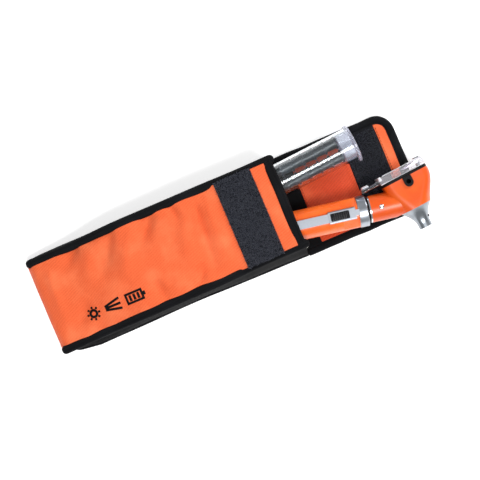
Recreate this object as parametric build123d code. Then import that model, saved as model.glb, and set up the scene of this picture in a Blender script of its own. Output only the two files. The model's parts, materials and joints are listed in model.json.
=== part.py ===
from build123d import *
import math
import os

# Otoscope kit: a flat padded pouch, lying open, that holds an otoscope and a tube of ear specula.
# Millimetres. The origin is the middle of the pouch's back face. +X runs to the free end of the
# open flap, and +Z points away from the surface that the pouch lies on.

# ---------------------------------------------------------------- pouch
POUCH_LENGTH = 248.8  # closed end of the pocket to the free end of the open flap
SIDE_ROOM = 28.1  # width beyond the handle and the tube side by side
POCKET_LENGTH = 167.5
BACK_THICKNESS = 4.0
FABRIC = 1.6
FACING = 0.6  # lining and hook strips, laid on the flap
NAP = 1.3  # loop strip on the front
BINDING_WIDTH = 5.5
BINDING_HEIGHT = 3.2
REAR_BINDING_WIDTH = 3.3
REAR_BINDING_HEIGHT = 5.0
GUSSET_INSET = 3.0, 0.6  # under the front's bindings: lower side, upper side
UPPER_LEAN = 1.3, 0.5  # how far the front's edge stands in from the back's: closed end, mouth
LOWER_LEAN = 2.7, 6.0
CLOSED_HEIGHT = 12.0  # pouch height near the closed end
SLACK_HEIGHT = 16.5  # and halfway to the end of the handle
MOUTH_GAP = 1.1  # highest thing in the mouth to the mouth binding
MOUTH_BINDING_LENGTH = 5.8
MOUTH_BINDING_WRAP = 0.4
LOOP_STRIP_LENGTH = 24.2
LOOP_STRIP_FROM_MOUTH = 14.2

# ---------------------------------------------------------------- flap
FLAP_NARROWER = 1.9
FLAP_CENTRE_Y = -1.15
FLAP_CORNER = 12.0
FLAP_BINDING_WIDTH = 6.0
FOLD_GAP = 0.4
MOUTH_STRIP_LENGTH = 10.6
FLAP_LINING_LENGTH = 34.7
HOOK_STRIP_LENGTH = 23.3
REST_GAP = 0.4  # between the flap's facings and what lies over them

# ---------------------------------------------------------------- otoscope, along its handle
INSTRUMENT_X = 88.7  # where the neck meets the handle
INSTRUMENT_SIDE_ROOM = 2.9  # handle to the pouch's lower edge, where the neck starts
INSTRUMENT_ANGLE = -10.2
NECK_STEP = 1.4  # beyond the sleeve
NECK_WALL = 2.4
NECK_END = 22.0
RING_LENGTH = 0.9
GROOVE_LENGTH = 1.1
GROOVE_STEP = 1.0  # beyond the sleeve
SLEEVE_WALL = 1.3  # inside the collar's spigot
SLEEVE_LENGTH = 10.0
SLEEVE_NOSE = 4.0  # inside the neck
LUG_HEIGHT = 0.8
LUG_LENGTH = 1.6
LUG_COUNT = 3
LUG_FROM_BACK = 1.4
LUG_ANGLE = 22.0
TWIST = 30.0
COLLAR_PROUD = 0.35  # beyond the handle
COLLAR_LENGTH = 5.9
SPIGOT_WALL = 0.7  # beyond the handle's bore
SPIGOT_LENGTH = 3.9
HANDLE_WALL = 1.95
SWITCH_ROOM = 18.2  # handle ahead of the cells
CELL_GAP = 0.45  # round a cell in the handle
CELL_R = 7.15
CELL_LENGTH = 49.0
CELL_STUD_R = 2.7
CELL_STUD_LENGTH = 1.0
FACET_DEPTH = 0.76
FACET_LENGTH = 9.8
FACET_ANGLE = 46.0
END_CAP_PROUD = 0.15  # beyond the handle
END_CAP_LENGTH = 4.2
CAP_SPIGOT_LENGTH = 4.6
CAP_TRAVEL = 6.0
CAP_SLOT_WIDTH = 1.6
SEAL = 0.3
SPRING_LENGTH = 6.8
SPRING_R = 5.2
SPRING_WIRE = 0.8
SPRING_TURNS = 4

# ---------------------------------------------------------------- switch and clip
CLIP_GAP = 1.0  # above the handle
CLIP_THICKNESS = 0.8
CLIP_WIDTH = 5.5
CLIP_LENGTH = 31.0
CLIP_BEND = 5.0
PLATE_LENGTH = 17.0
PLATE_WIDTH = 7.7
PLATE_LEG = 0.85
PLATE_FROM_COLLAR = 1.9
TONGUE_LENGTH = 2.5
TONGUE_WIDTH = 3.6
PAD_LENGTH = 11.7
PAD_WIDTH = 4.8
PAD_HEIGHT = 1.05
PAD_RIBS = 9
SWITCH_TRAVEL = 3.0
STEM_LENGTH = 3.0
STEM_WIDTH = 2.4
STEM_GAP = 0.3

# ---------------------------------------------------------------- head, about its optical axis
HEAD_S = 28.3  # middle of the cone's base, along the handle axis
HEAD_OFFSET = -4.96  # and across it
HEAD_TURN = 15.0  # the optical axis stands 90 degrees less this off the handle
HEAD_DEPTH = 20.0
HEAD_WALL = 2.0
HEAD_LIP = 0.1  # beyond the cone's base, on each side
# Housing sections above the cone's base, up to the window: depth, left, right, half height.
UPPER_SECTIONS = (
    (7.8, -11.7, 13.9, 9.9),
    (13.0, -12.5, 16.4, 9.6),
    (20.0, -13.0, 17.1, 9.5),
)
UPPER_CORNERS = 7.5, 6.0, 5.0
CHANNEL_REACH = 11.2  # half the viewing channel's width at the window
GASKET = 1.8
GASKET_WINDOW = 20.0, 13.0
GASKET_WINDOW_CORNER = 3.0
PORT_X = 2.1
PORT_DEPTH = 16.6
PORT_R = 1.5
NIPPLE_R = 2.6
PORT_TAB_WIDTH = 5.6
PORT_TAB_END = 13.3
PORT_TAB_HEIGHT = 1.15
SCREW_S = 6.6
SCREW_R = 1.5
SCREW_SHANK_R = 0.9
SCREW_HEAD = 0.7

# ---------------------------------------------------------------- speculum cone
CONE_R = 10.2
CONE_LENGTH = 13.8
CONE_TIP_R = 4.2
CONE_LAND = 2.8
CONE_WALL = 0.9
CONE_PIN_R = 0.6
CONE_PIN_DEPTH = 8.0
CONE_PIN_ANGLE = 25.0

# ---------------------------------------------------------------- light
BOARD_GAP = 0.4  # inside the neck's bore
BOARD_THICKNESS = 0.5
LED_R = 2.5
LED_LENGTH = 2.2
GUIDE_R = 1.4
GUIDE_OFFSET = 5.6
GUIDE_BEND = 4.0
GUIDE_TIP = 0.8  # short of the cone
CONTACT_PIN_R = 1.5

# ---------------------------------------------------------------- magnifier
MAGNIFIER_GAP = 0.2
MAGNIFIER_PLATE = 2.3
MAGNIFIER_LENS = 2.8
MAGNIFIER_LEFT = 14.0
MAGNIFIER_RIGHT = 17.3
MAGNIFIER_CORNER = 3.5
LENS_RIGHT = 12.2
END_WALL = 2.0
LENS_DOME_R = 42.0
TAB_LENGTH = 12.3
TAB_CLEARANCE = 0.3  # over the collar
TAB_MIN_RISE = 0.2
TAB_WIDTH = 9.0
TAB_THICKNESS = 2.6
NUB_LENGTH = 5.0
NUB_HEIGHT = 1.2
PIVOT_X = 14.4
PIVOT_R = 1.5
RIVET_HEAD_R = 2.4
RIVET_HEAD = 0.7

# ---------------------------------------------------------------- specula tube
TUBE_X = 93.3  # the tube's open end
TUBE_SIDE_ROOM = 3.27  # tube's open end to the pouch's upper edge
TUBE_ANGLE = 4.2
TUBE_R = 10.5
TUBE_WALL = 1.2
TUBE_LENGTH = 90.0
TUBE_END_ROUND = 8.0
CAP_FLANGE_STEP = 1.7  # beyond the tube
CAP_FLANGE = 2.0
CAP_PLUG_LENGTH = 7.4
CAP_PLUG_WALL = 1.2
SPECULUM_LENGTH = 26.0
SPECULUM_PITCH = 9.8
SPECULUM_WALL = 0.5
SPECULUM_RIM = 1.5
SPECULUM_TIP_R = 1.6
SPECULA_PER_ROW = 6
LARGE_RIM_R = 4.45
SMALL_RIM_R = 4.3
ROW_GAP = 0.2

# ---------------------------------------------------------------- fits, as radial or face clearances
SEAT = 0.02  # pieces fixed to each other
RUNNING = 0.07  # turning or sliding in a bore
FACE_GAP = 0.1  # faces that move past each other

# ---------------------------------------------------------------- what follows from these
CLOSED_X = -POUCH_LENGTH / 2
MOUTH_X = CLOSED_X + POCKET_LENGTH
FLAP_TOP = BACK_THICKNESS + FACING
HANDLE_BORE_R = CELL_R + CELL_GAP
CELL_PITCH = CELL_LENGTH + CELL_STUD_LENGTH
HANDLE_LENGTH = CAP_SPIGOT_LENGTH + SPRING_LENGTH + FACE_GAP + 2 * CELL_PITCH + SWITCH_ROOM
HANDLE_R = HANDLE_BORE_R + HANDLE_WALL
POUCH_WIDTH = 2 * (HANDLE_R + TUBE_R) + SIDE_ROOM
HALF_WIDTH = POUCH_WIDTH / 2
FLAP_WIDTH = POUCH_WIDTH - FLAP_NARROWER
INSTRUMENT_Y = -HALF_WIDTH + HANDLE_R + INSTRUMENT_SIDE_ROOM
TUBE_Y = HALF_WIDTH - TUBE_R - TUBE_SIDE_ROOM
CAP_FLANGE_R = TUBE_R + CAP_FLANGE_STEP
COLLAR_R = HANDLE_R + COLLAR_PROUD
END_CAP_R = HANDLE_R + END_CAP_PROUD
SPIGOT_R = HANDLE_BORE_R + SPIGOT_WALL
SLEEVE_R = SPIGOT_R - SLEEVE_WALL
GROOVE_R = SLEEVE_R + GROOVE_STEP
NECK_R = SLEEVE_R + NECK_STEP
NECK_BORE_R = NECK_R - NECK_WALL
BOARD_R = NECK_BORE_R - BOARD_GAP
INSTRUMENT_Z = FLAP_TOP + REST_GAP + max(CONE_R, COLLAR_R, UPPER_SECTIONS[0][3])
TUBE_Z = FLAP_TOP + REST_GAP + CAP_FLANGE_R
CLIP_Z = HANDLE_R + CLIP_GAP
CLIP_TOP = CLIP_Z + CLIP_THICKNESS
PAD_TOP = CLIP_TOP + FACE_GAP + PAD_HEIGHT
MOUTH_INNER_Z = max(INSTRUMENT_Z + PAD_TOP, TUBE_Z + TUBE_R) + MOUTH_GAP
FRONT_Z = MOUTH_INNER_Z + MOUTH_BINDING_WRAP + FABRIC
BINDING_START_X = CLOSED_X + 6.0
COLLAR_FRONT = -RING_LENGTH - GROOVE_LENGTH - 2 * FACE_GAP
COLLAR_BACK = COLLAR_FRONT - COLLAR_LENGTH
HANDLE_FRONT = COLLAR_BACK - FACE_GAP
HANDLE_BACK = HANDLE_FRONT - HANDLE_LENGTH
PLATE_FRONT = COLLAR_BACK - PLATE_FROM_COLLAR
PLATE_BACK = PLATE_FRONT - PLATE_LENGTH
PAD_BACK = PLATE_BACK + 1.2
STEM_S = PAD_BACK + PAD_LENGTH / 2
SPRING_BACK = HANDLE_BACK + CAP_SPIGOT_LENGTH
CELL_BACK = SPRING_BACK + SPRING_LENGTH + FACE_GAP
MAGNIFIER_DEPTH = HEAD_DEPTH + GASKET + MAGNIFIER_GAP
MAGNIFIER_TOP = MAGNIFIER_DEPTH + MAGNIFIER_PLATE + MAGNIFIER_LENS
HEAD_SECTIONS = ((0.0, -CONE_R - HEAD_LIP, CONE_R + HEAD_LIP, CONE_R),) + UPPER_SECTIONS
HEAD_CORNERS = (CONE_R - 2 * HEAD_LIP,) + UPPER_CORNERS
HALF_WINDOW = HEAD_SECTIONS[-1][3]
HANDLE_END_X = INSTRUMENT_X + (HANDLE_BACK - END_CAP_LENGTH) * math.cos(math.radians(INSTRUMENT_ANGLE))

INSTRUMENT = Pos(INSTRUMENT_X, INSTRUMENT_Y, INSTRUMENT_Z) * Rot(0, 0, INSTRUMENT_ANGLE)
HEAD = Pos(HEAD_S, HEAD_OFFSET, 0) * Rot(0, 0, HEAD_TURN)
TUBE = Pos(TUBE_X, TUBE_Y, TUBE_Z) * Rot(0, 0, TUBE_ANGLE)


# ---------------------------------------------------------------- helpers
def block(x0, x1, y0, y1, z0, z1):
    """Box between two corners."""
    corner = (Align.MIN, Align.MIN, Align.MIN)
    return Pos(x0, y0, z0) * Box(x1 - x0, y1 - y0, z1 - z0, align=corner)


def rod(x0, x1, radius):
    """Round bar about the X axis."""
    foot = (Align.CENTER, Align.CENTER, Align.MIN)
    return Pos(x0, 0, 0) * Rot(0, 90, 0) * Cylinder(radius, x1 - x0, align=foot)


def ring(x0, x1, outer, inner):
    """Round bar about the X axis with a hole along it."""
    return rod(x0, x1, outer) - rod(x0 - 1, x1 + 1, inner)


def peg(x, y, z0, z1, radius):
    """Round bar along Z."""
    foot = (Align.CENTER, Align.CENTER, Align.MIN)
    return Pos(x, y, z0) * Cylinder(radius, z1 - z0, align=foot)


def cross_peg(x, z, y0, y1, radius):
    """Round bar along Y."""
    foot = (Align.CENTER, Align.CENTER, Align.MIN)
    return Pos(x, y0, z) * Rot(-90, 0, 0) * Cylinder(radius, y1 - y0, align=foot)


def turned(points):
    """Solid of revolution about the X axis of a closed outline of (x, radius) points."""
    return revolve(make_face(Polyline(*points, close=True)), Axis.X)


def plate(points, z0, z1, corner=0.0, rounded=()):
    """Flat plate from its outline, with the numbered corners rounded."""
    outline = make_face(Polyline(*points, close=True))
    if rounded:
        chosen = [outline.vertices().sort_by_distance((*points[i], 0))[0] for i in rounded]
        outline = fillet(chosen, corner)
    return Pos(0, 0, z0) * extrude(outline, z1 - z0)


def rounded_prism(x0, x1, y0, y1, half_z, corner):
    """Prism along Y, its section a rounded rectangle centred on z = 0."""
    section = RectangleRounded(x1 - x0, 2 * half_z, corner)
    return extrude(Plane.XZ.offset(-y0) * Pos((x0 + x1) / 2, 0) * section, -(y1 - y0))


# ---------------------------------------------------------------- pouch
def front_line():
    """Outer face of the pocket's front from the mouth to the closed end, as (x, z) points."""
    full_end = HANDLE_END_X + 31.0
    handle_end = HANDLE_END_X - CAP_TRAVEL - 5.0
    handle_height = INSTRUMENT_Z + END_CAP_R + FABRIC + 0.7
    slack_x = (handle_end + CLOSED_X) / 2
    return [
        (MOUTH_X, FRONT_Z),
        (full_end, FRONT_Z),
        (handle_end, handle_height),
        (slack_x, SLACK_HEIGHT),
        (CLOSED_X + 7.5, CLOSED_HEIGHT),
    ]


def front_band(low, high):
    """Everything between two offsets from the front's outer face, as wide as the pouch."""
    line = front_line()
    outline = [(x, z + high) for x, z in line] + [(x, z + low) for x, z in reversed(line)]
    face = Plane.XZ * make_face(Polyline(*outline, close=True))
    return extrude(face, POUCH_WIDTH, both=True)


def front_edges(x):
    """Y of the front's two edges at x, as lower and upper."""
    share = (x - CLOSED_X) / POCKET_LENGTH
    upper_lean = UPPER_LEAN[0] + share * (UPPER_LEAN[1] - UPPER_LEAN[0])
    lower_lean = LOWER_LEAN[0] + share * (LOWER_LEAN[1] - LOWER_LEAN[0])
    inside = HALF_WIDTH - BINDING_WIDTH
    return -inside + lower_lean, inside - upper_lean + UPPER_LEAN[1]


def front_plan(x0, x1, z0, z1):
    """Plate that covers the front between its edges from x0 to x1."""
    low0, high0 = front_edges(x0)
    low1, high1 = front_edges(x1)
    return plate([(x0, low0), (x1, low1), (x1, high1), (x0, high0)], z0, z1)


def edge_plan(side, inner, outer, z0, z1, corner=0.0):
    """Strip along one edge of the front, side 0 the lower, between two offsets outwards."""
    out = 1 if side else -1
    start = front_edges(BINDING_START_X)[side]
    end = front_edges(MOUTH_X)[side]
    points = [
        (BINDING_START_X, start + out * inner),
        (MOUTH_X, end + out * inner),
        (MOUTH_X, end + out * outer),
        (BINDING_START_X, start + out * outer),
    ]
    return plate(points, z0, z1, corner, (0, 3) if corner else ())


def make_pocket_front():
    """Front fabric, carried down round the closed end to the back face."""
    line = front_line()
    outer = line + [(CLOSED_X + 2.2, CLOSED_HEIGHT - 2.4), (CLOSED_X, CLOSED_HEIGHT - 7), (CLOSED_X, 0)]
    inner = [(x, z - FABRIC) for x, z in line]
    inner += [(CLOSED_X + 3.2, CLOSED_HEIGHT - 3.8), (CLOSED_X + FABRIC, CLOSED_HEIGHT - 7.5)]
    inner += [(CLOSED_X + FABRIC, 0)]
    face = Plane.XZ * make_face(Polyline(*outer, *reversed(inner), close=True))
    sheet = extrude(face, POUCH_WIDTH, both=True)
    end = MOUTH_X - MOUTH_BINDING_LENGTH
    return sheet & front_plan(CLOSED_X - 1, end, -1, 2 * FRONT_Z)


def make_pouch():
    """The pocket, from its back panel to the loop strip on the front."""
    panel_y = HALF_WIDTH - REAR_BINDING_WIDTH
    start = CLOSED_X + FABRIC
    nodes = {"back_panel": block(start, MOUTH_X, -panel_y, panel_y, 0, BACK_THICKNESS)}
    rear = [
        plate(
            [(BINDING_START_X, y0), (MOUTH_X, y0), (MOUTH_X, y1), (BINDING_START_X, y1)],
            0,
            REAR_BINDING_HEIGHT,
        )
        for y0, y1 in ((-HALF_WIDTH, -panel_y), (panel_y, HALF_WIDTH))
    ]
    nodes["rear_binding"] = Compound(rear)
    nodes["pocket_front"] = make_pocket_front()
    under_binding = front_band(-60, -BINDING_HEIGHT)
    for side, word in enumerate(("lower", "upper")):
        inset = GUSSET_INSET[side]
        wall = edge_plan(side, inset, inset + FABRIC, BACK_THICKNESS, 2 * FRONT_Z)
        nodes[f"side_gusset_{word}"] = wall & under_binding
        strip = edge_plan(side, 0, BINDING_WIDTH, 0, 2 * FRONT_Z, 2.0)
        nodes[f"front_binding_{word}"] = strip & front_band(-BINDING_HEIGHT, 0.2)
    mouth_start = MOUTH_X - MOUTH_BINDING_LENGTH
    mouth_top = FRONT_Z + MOUTH_BINDING_WRAP
    nodes["mouth_binding"] = front_plan(mouth_start, MOUTH_X, MOUTH_INNER_Z, mouth_top)
    loop_end = MOUTH_X - LOOP_STRIP_FROM_MOUTH
    nodes["loop_strip"] = front_plan(loop_end - LOOP_STRIP_LENGTH, loop_end, FRONT_Z, FRONT_Z + NAP)
    return nodes


def flap_outline(inset):
    """Flap as a plate with its free corners rounded, open towards the mouth."""
    half = FLAP_WIDTH / 2 - inset
    x0 = MOUTH_X + FOLD_GAP
    x1 = -CLOSED_X - inset
    low, high = FLAP_CENTRE_Y - half, FLAP_CENTRE_Y + half
    points = [(x0, low), (x1, low), (x1, high), (x0, high)]
    return plate(points, 0, FLAP_TOP, FLAP_CORNER - inset, (1, 2))


def make_flap():
    """The open flap, its binding and the strips on its inner face."""
    inside = flap_outline(FLAP_BINDING_WIDTH)
    wide = (-POUCH_WIDTH, POUCH_WIDTH)
    x0 = MOUTH_X + FOLD_GAP
    nodes = {
        "flap_panel": inside & block(x0, -CLOSED_X, *wide, 0, BACK_THICKNESS),
        "flap_binding": flap_outline(0) - inside,
    }
    lining_x = x0 + MOUTH_STRIP_LENGTH
    hook_x = lining_x + FLAP_LINING_LENGTH
    end_x = hook_x + HOOK_STRIP_LENGTH
    strips = {
        "mouth_strip": (x0, lining_x),
        "flap_lining": (lining_x, hook_x),
        "hook_strip": (hook_x, end_x),
        "flap_end_strip": (end_x, -CLOSED_X),
    }
    for name, (start, end) in strips.items():
        nodes[name] = inside & block(start, end, *wide, BACK_THICKNESS, FLAP_TOP)
    return nodes


# ---------------------------------------------------------------- otoscope head
def head_loft(inset, low, high):
    """Housing between two depths along the optical axis, shrunk by inset, in the head's frame."""
    faces = []
    for index, (depth, left, right, half) in enumerate(HEAD_SECTIONS):
        corner = max(HEAD_CORNERS[index] - inset, 1.0)
        if inset:
            reach = min(-left, right, CHANNEL_REACH + HEAD_WALL) - inset
            left, right = -reach, reach
        y = min(max(depth, low), high)
        if index == 0:
            y = low
        if index == len(HEAD_SECTIONS) - 1:
            y = high
        section = RectangleRounded(right - left, 2 * (half - inset), min(corner, half - inset - 0.1))
        faces.append(Plane.XZ.offset(-y) * Pos((left + right) / 2, 0) * section)
    return loft(faces)


def port_outline(z0, z1):
    """Tongue of the insufflation port, in the head's frame."""
    half = PORT_TAB_WIDTH / 2
    round_end = peg(PORT_X, PORT_TAB_END + half, z0, z1, half)
    return round_end + block(PORT_X - half, PORT_X + half, PORT_TAB_END + half, HEAD_DEPTH, z0, z1)


def make_housing():
    """Orange housing: a neck and a tapering head round the viewing channel."""
    shell = HEAD * head_loft(0, 0, HEAD_DEPTH) + rod(0, NECK_END, NECK_R)
    shell -= HEAD * block(-60, 60, -40, 0, -40, 40)
    shell -= HEAD * head_loft(HEAD_WALL, -0.5, HEAD_DEPTH + 0.5)
    shell -= rod(-1, NECK_END - 2, NECK_BORE_R)
    shell -= HEAD * port_outline(HALF_WINDOW - 0.05, HALF_WINDOW + 5)
    shell -= HEAD * peg(PORT_X, PORT_DEPTH, 0, HALF_WINDOW + 5, NIPPLE_R)
    shell -= HEAD * cross_peg(PIVOT_X, 0, HEAD_DEPTH - 4, HEAD_DEPTH + 1, PIVOT_R + SEAT)
    shell -= peg(SCREW_S, 0, NECK_R - SCREW_HEAD, NECK_R + 2, SCREW_R + SEAT)
    shell -= peg(SCREW_S, 0, 0, NECK_R, SCREW_SHANK_R + SEAT)
    return shell


def make_gasket():
    """Black frame of the window, between the housing and the magnifier."""
    _, left, right, half = HEAD_SECTIONS[-1]
    top = HEAD_DEPTH + GASKET
    frame = rounded_prism(left, right, HEAD_DEPTH, top, half, HEAD_CORNERS[-1])
    reach = GASKET_WINDOW[0] / 2
    frame -= rounded_prism(-reach, reach, HEAD_DEPTH - 1, top + 1, GASKET_WINDOW[1] / 2, GASKET_WINDOW_CORNER)
    frame -= cross_peg(PIVOT_X, 0, HEAD_DEPTH - 1, top + 1, PIVOT_R + SEAT)
    return HEAD * frame


def make_port():
    """Insufflation port: a tongue on the housing with a nipple through its wall."""
    top = HALF_WINDOW + PORT_TAB_HEIGHT
    tongue = port_outline(HALF_WINDOW - 0.05, top) - block(-60, 60, HEAD_DEPTH - SEAT, 60, 0, 20)
    tongue += peg(PORT_X, PORT_DEPTH, HALF_WINDOW - HEAD_WALL, top, NIPPLE_R - SEAT)
    return HEAD * (tongue - peg(PORT_X, PORT_DEPTH, 0, 20, PORT_R))


def cone_radius(share):
    """Outer radius of the cone's flare, share 0 at the base and 1 where the straight tip starts."""
    return CONE_TIP_R + (CONE_R - CONE_TIP_R) * (1 - share) ** 1.9


def make_cone():
    """Hollow trumpet that the ear specula push onto, opening along the optical axis."""
    flare = CONE_LENGTH - CONE_LAND
    steps = [index / 6 for index in range(7)]
    outer = [(flare * share, cone_radius(share)) for share in steps]
    inner = [(flare * share, cone_radius(share) - CONE_WALL) for share in steps]
    outer_line = Spline(*outer)
    inner_line = Spline(*inner)
    tip_x = CONE_LENGTH
    bore = CONE_TIP_R - CONE_WALL
    edges = [
        outer_line,
        Line(outer[-1], (tip_x, CONE_TIP_R)),
        Line((tip_x, CONE_TIP_R), (tip_x, bore)),
        Line((tip_x, bore), inner[-1]),
        inner_line,
        Line(inner[0], outer[0]),
    ]
    cone = revolve(make_face(edges), Axis.X)
    cone -= cone_pin_bar(SEAT)
    return HEAD * Rot(0, 0, -90) * cone


def cone_pin_bar(extra):
    """Bayonet pin across the cone's wall, in the cone's frame."""
    radius = cone_radius(CONE_PIN_DEPTH / (CONE_LENGTH - CONE_LAND))
    bar = peg(CONE_PIN_DEPTH, 0, radius - CONE_WALL, radius + 0.5, CONE_PIN_R + extra)
    return Rot(CONE_PIN_ANGLE - 90, 0, 0) * bar


def make_sleeve():
    """Bayonet sleeve that joins the neck to the handle's collar."""
    groove_end = -RING_LENGTH - GROOVE_LENGTH
    back = groove_end - SLEEVE_LENGTH
    sleeve = rod(back, 0, SLEEVE_R) + rod(groove_end, -RING_LENGTH, GROOVE_R)
    sleeve += rod(0, SLEEVE_NOSE, NECK_BORE_R - SEAT)
    lug_x = COLLAR_BACK + LUG_FROM_BACK
    for index in range(LUG_COUNT):
        lug = block(lug_x, lug_x + LUG_LENGTH, -1.5, 1.5, SLEEVE_R - 1, SLEEVE_R + LUG_HEIGHT)
        lug &= rod(lug_x, lug_x + LUG_LENGTH, SLEEVE_R + LUG_HEIGHT)
        sleeve += Rot(index * 360 / LUG_COUNT + LUG_ANGLE, 0, 0) * lug
    return sleeve - rod(back - 1, 5, CONTACT_PIN_R + SEAT)


def make_light_guide():
    """Fibre bundle from the lamp along the neck, bent down beside the viewing channel."""
    turn = math.radians(HEAD_TURN)
    bend_s = HEAD_S - (GUIDE_OFFSET + abs(HEAD_OFFSET) * math.sin(turn)) / math.cos(turn)
    tip_x = HEAD_S - GUIDE_OFFSET * math.cos(turn) - GUIDE_TIP * math.sin(turn)
    tip_y = HEAD_OFFSET - GUIDE_OFFSET * math.sin(turn) + GUIDE_TIP * math.cos(turn)
    start = SLEEVE_NOSE + BOARD_THICKNESS + LED_LENGTH + 0.3
    path = FilletPolyline((start, 0, 0), (bend_s, 0, 0), (tip_x, tip_y, 0), radius=GUIDE_BEND)
    section = Plane(origin=(start, 0, 0), z_dir=(1, 0, 0)) * Circle(GUIDE_R)
    return sweep(section, path=path)


def make_head():
    """Everything that stays with the head."""
    board = SLEEVE_NOSE + SEAT
    lamp = board + BOARD_THICKNESS
    pivot_top = MAGNIFIER_TOP + FACE_GAP
    rivet = cross_peg(PIVOT_X, 0, HEAD_DEPTH - 3.5, pivot_top, PIVOT_R)
    rivet += cross_peg(PIVOT_X, 0, pivot_top, pivot_top + RIVET_HEAD, RIVET_HEAD_R)
    screw = peg(SCREW_S, 0, NECK_R - NECK_WALL + 0.4, NECK_R - SCREW_HEAD, SCREW_SHANK_R)
    screw += peg(SCREW_S, 0, NECK_R - SCREW_HEAD, NECK_R + 0.1, SCREW_R)
    screw -= block(SCREW_S - 2, SCREW_S + 2, -0.2, 0.2, NECK_R - 0.3, NECK_R + 1)
    pin_back = -RING_LENGTH - GROOVE_LENGTH - SLEEVE_LENGTH - 4.0
    return {
        "head_housing": make_housing(),
        "window_gasket": make_gasket(),
        "insufflation_port": make_port(),
        "speculum_cone": make_cone(),
        "cone_pin": HEAD * Rot(0, 0, -90) * cone_pin_bar(0),
        "pivot_rivet": HEAD * rivet,
        "neck_screw": screw,
        "neck_ring": ring(-RING_LENGTH, 0, NECK_R + 0.05, SLEEVE_R + SEAT),
        "neck_sleeve": make_sleeve(),
        "contact_pin": rod(pin_back, 3.0, CONTACT_PIN_R),
        "led_board": rod(board, lamp, BOARD_R),
        "led": rod(lamp, lamp + LED_LENGTH, LED_R),
        "light_guide": make_light_guide(),
    }


def make_magnifier():
    """Swinging magnifier: a dark carrier plate with a thumb tab, and the lens on it."""
    low, middle, top = MAGNIFIER_DEPTH, MAGNIFIER_DEPTH + MAGNIFIER_PLATE, MAGNIFIER_TOP
    left, right = -MAGNIFIER_LEFT, MAGNIFIER_RIGHT
    carrier = rounded_prism(left, right, low, middle, HALF_WINDOW, MAGNIFIER_CORNER)
    carrier += rounded_prism(LENS_RIGHT + FACE_GAP, right, middle, top, HALF_WINDOW, 2.0)
    carrier += rounded_prism(left, left + END_WALL, low, top, HALF_WINDOW - MAGNIFIER_CORNER, 0.6)
    tab_start = left - TAB_LENGTH
    turn = math.radians(HEAD_TURN)
    over_collar = COLLAR_R + TAB_CLEARANCE - HEAD_OFFSET - tab_start * math.sin(turn)
    tab_low = max(low + TAB_MIN_RISE, over_collar / math.cos(turn))
    nub_low = tab_low + TAB_THICKNESS
    carrier += rounded_prism(tab_start, left + END_WALL / 2, tab_low, nub_low, TAB_WIDTH / 2, 2.5)
    nub_start = tab_start + 1.0
    carrier += rounded_prism(nub_start, nub_start + NUB_LENGTH, nub_low - 1, nub_low + NUB_HEIGHT, 3.4, 1.6)
    reach = GASKET_WINDOW[0] / 2
    carrier -= rounded_prism(-reach, reach, low - 1, middle + 1, GASKET_WINDOW[1] / 2, GASKET_WINDOW_CORNER)
    carrier -= cross_peg(PIVOT_X, 0, low - 1, top + 1, PIVOT_R + RUNNING)
    lens_left = left + END_WALL + SEAT
    lens = rounded_prism(lens_left, LENS_RIGHT, middle, top, HALF_WINDOW - SEAT, MAGNIFIER_CORNER)
    lens &= Pos((lens_left + LENS_RIGHT) / 2, top - LENS_DOME_R, 0) * Sphere(LENS_DOME_R)
    return {"magnifier_carrier": HEAD * carrier, "magnifier_lens": HEAD * lens}


# ---------------------------------------------------------------- handle
def make_collar():
    """Silver locking collar with the bayonet's groove and entry slots."""
    collar = rod(COLLAR_BACK, COLLAR_FRONT, COLLAR_R)
    collar = fillet(collar.edges().filter_by(GeomType.CIRCLE), 0.5)
    collar += rod(COLLAR_BACK - SPIGOT_LENGTH, COLLAR_BACK, SPIGOT_R - SEAT)
    collar -= rod(COLLAR_BACK - SPIGOT_LENGTH - 1, COLLAR_FRONT + 1, SLEEVE_R + RUNNING)
    lug_x = COLLAR_BACK + LUG_FROM_BACK
    groove_r = SLEEVE_R + LUG_HEIGHT + RUNNING
    groove = rod(lug_x - FACE_GAP, lug_x + LUG_LENGTH + FACE_GAP, groove_r)
    collar -= groove
    for index in range(LUG_COUNT):
        slot = block(lug_x, 0, -1.8, 1.8, SLEEVE_R - 1, groove_r)
        collar -= Rot(index * 360 / LUG_COUNT + LUG_ANGLE + TWIST, 0, 0) * slot
    return collar


def make_handle_tube():
    """Orange battery handle with grip facets and the switch slot."""
    tube = rod(HANDLE_BACK, HANDLE_FRONT, HANDLE_R)
    tube -= rod(HANDLE_BACK - 1, HANDLE_FRONT + 1, HANDLE_BORE_R)
    tube -= rod(COLLAR_BACK - SPIGOT_LENGTH, HANDLE_FRONT + 1, SPIGOT_R)
    facet_front = HANDLE_FRONT - 0.5
    for sign in (-1, 1):
        cut = block(facet_front - FACET_LENGTH, facet_front, -9, 9, HANDLE_R - FACET_DEPTH, 20)
        tube -= Rot(sign * FACET_ANGLE, 0, 0) * cut
    half = STEM_WIDTH / 2 + STEM_GAP
    slot_back = STEM_S - STEM_LENGTH / 2 - STEM_GAP
    slot_front = STEM_S + STEM_LENGTH / 2 + SWITCH_TRAVEL + STEM_GAP
    return tube - block(slot_back, slot_front, -half, half, 0, HANDLE_R + 1)


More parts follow.
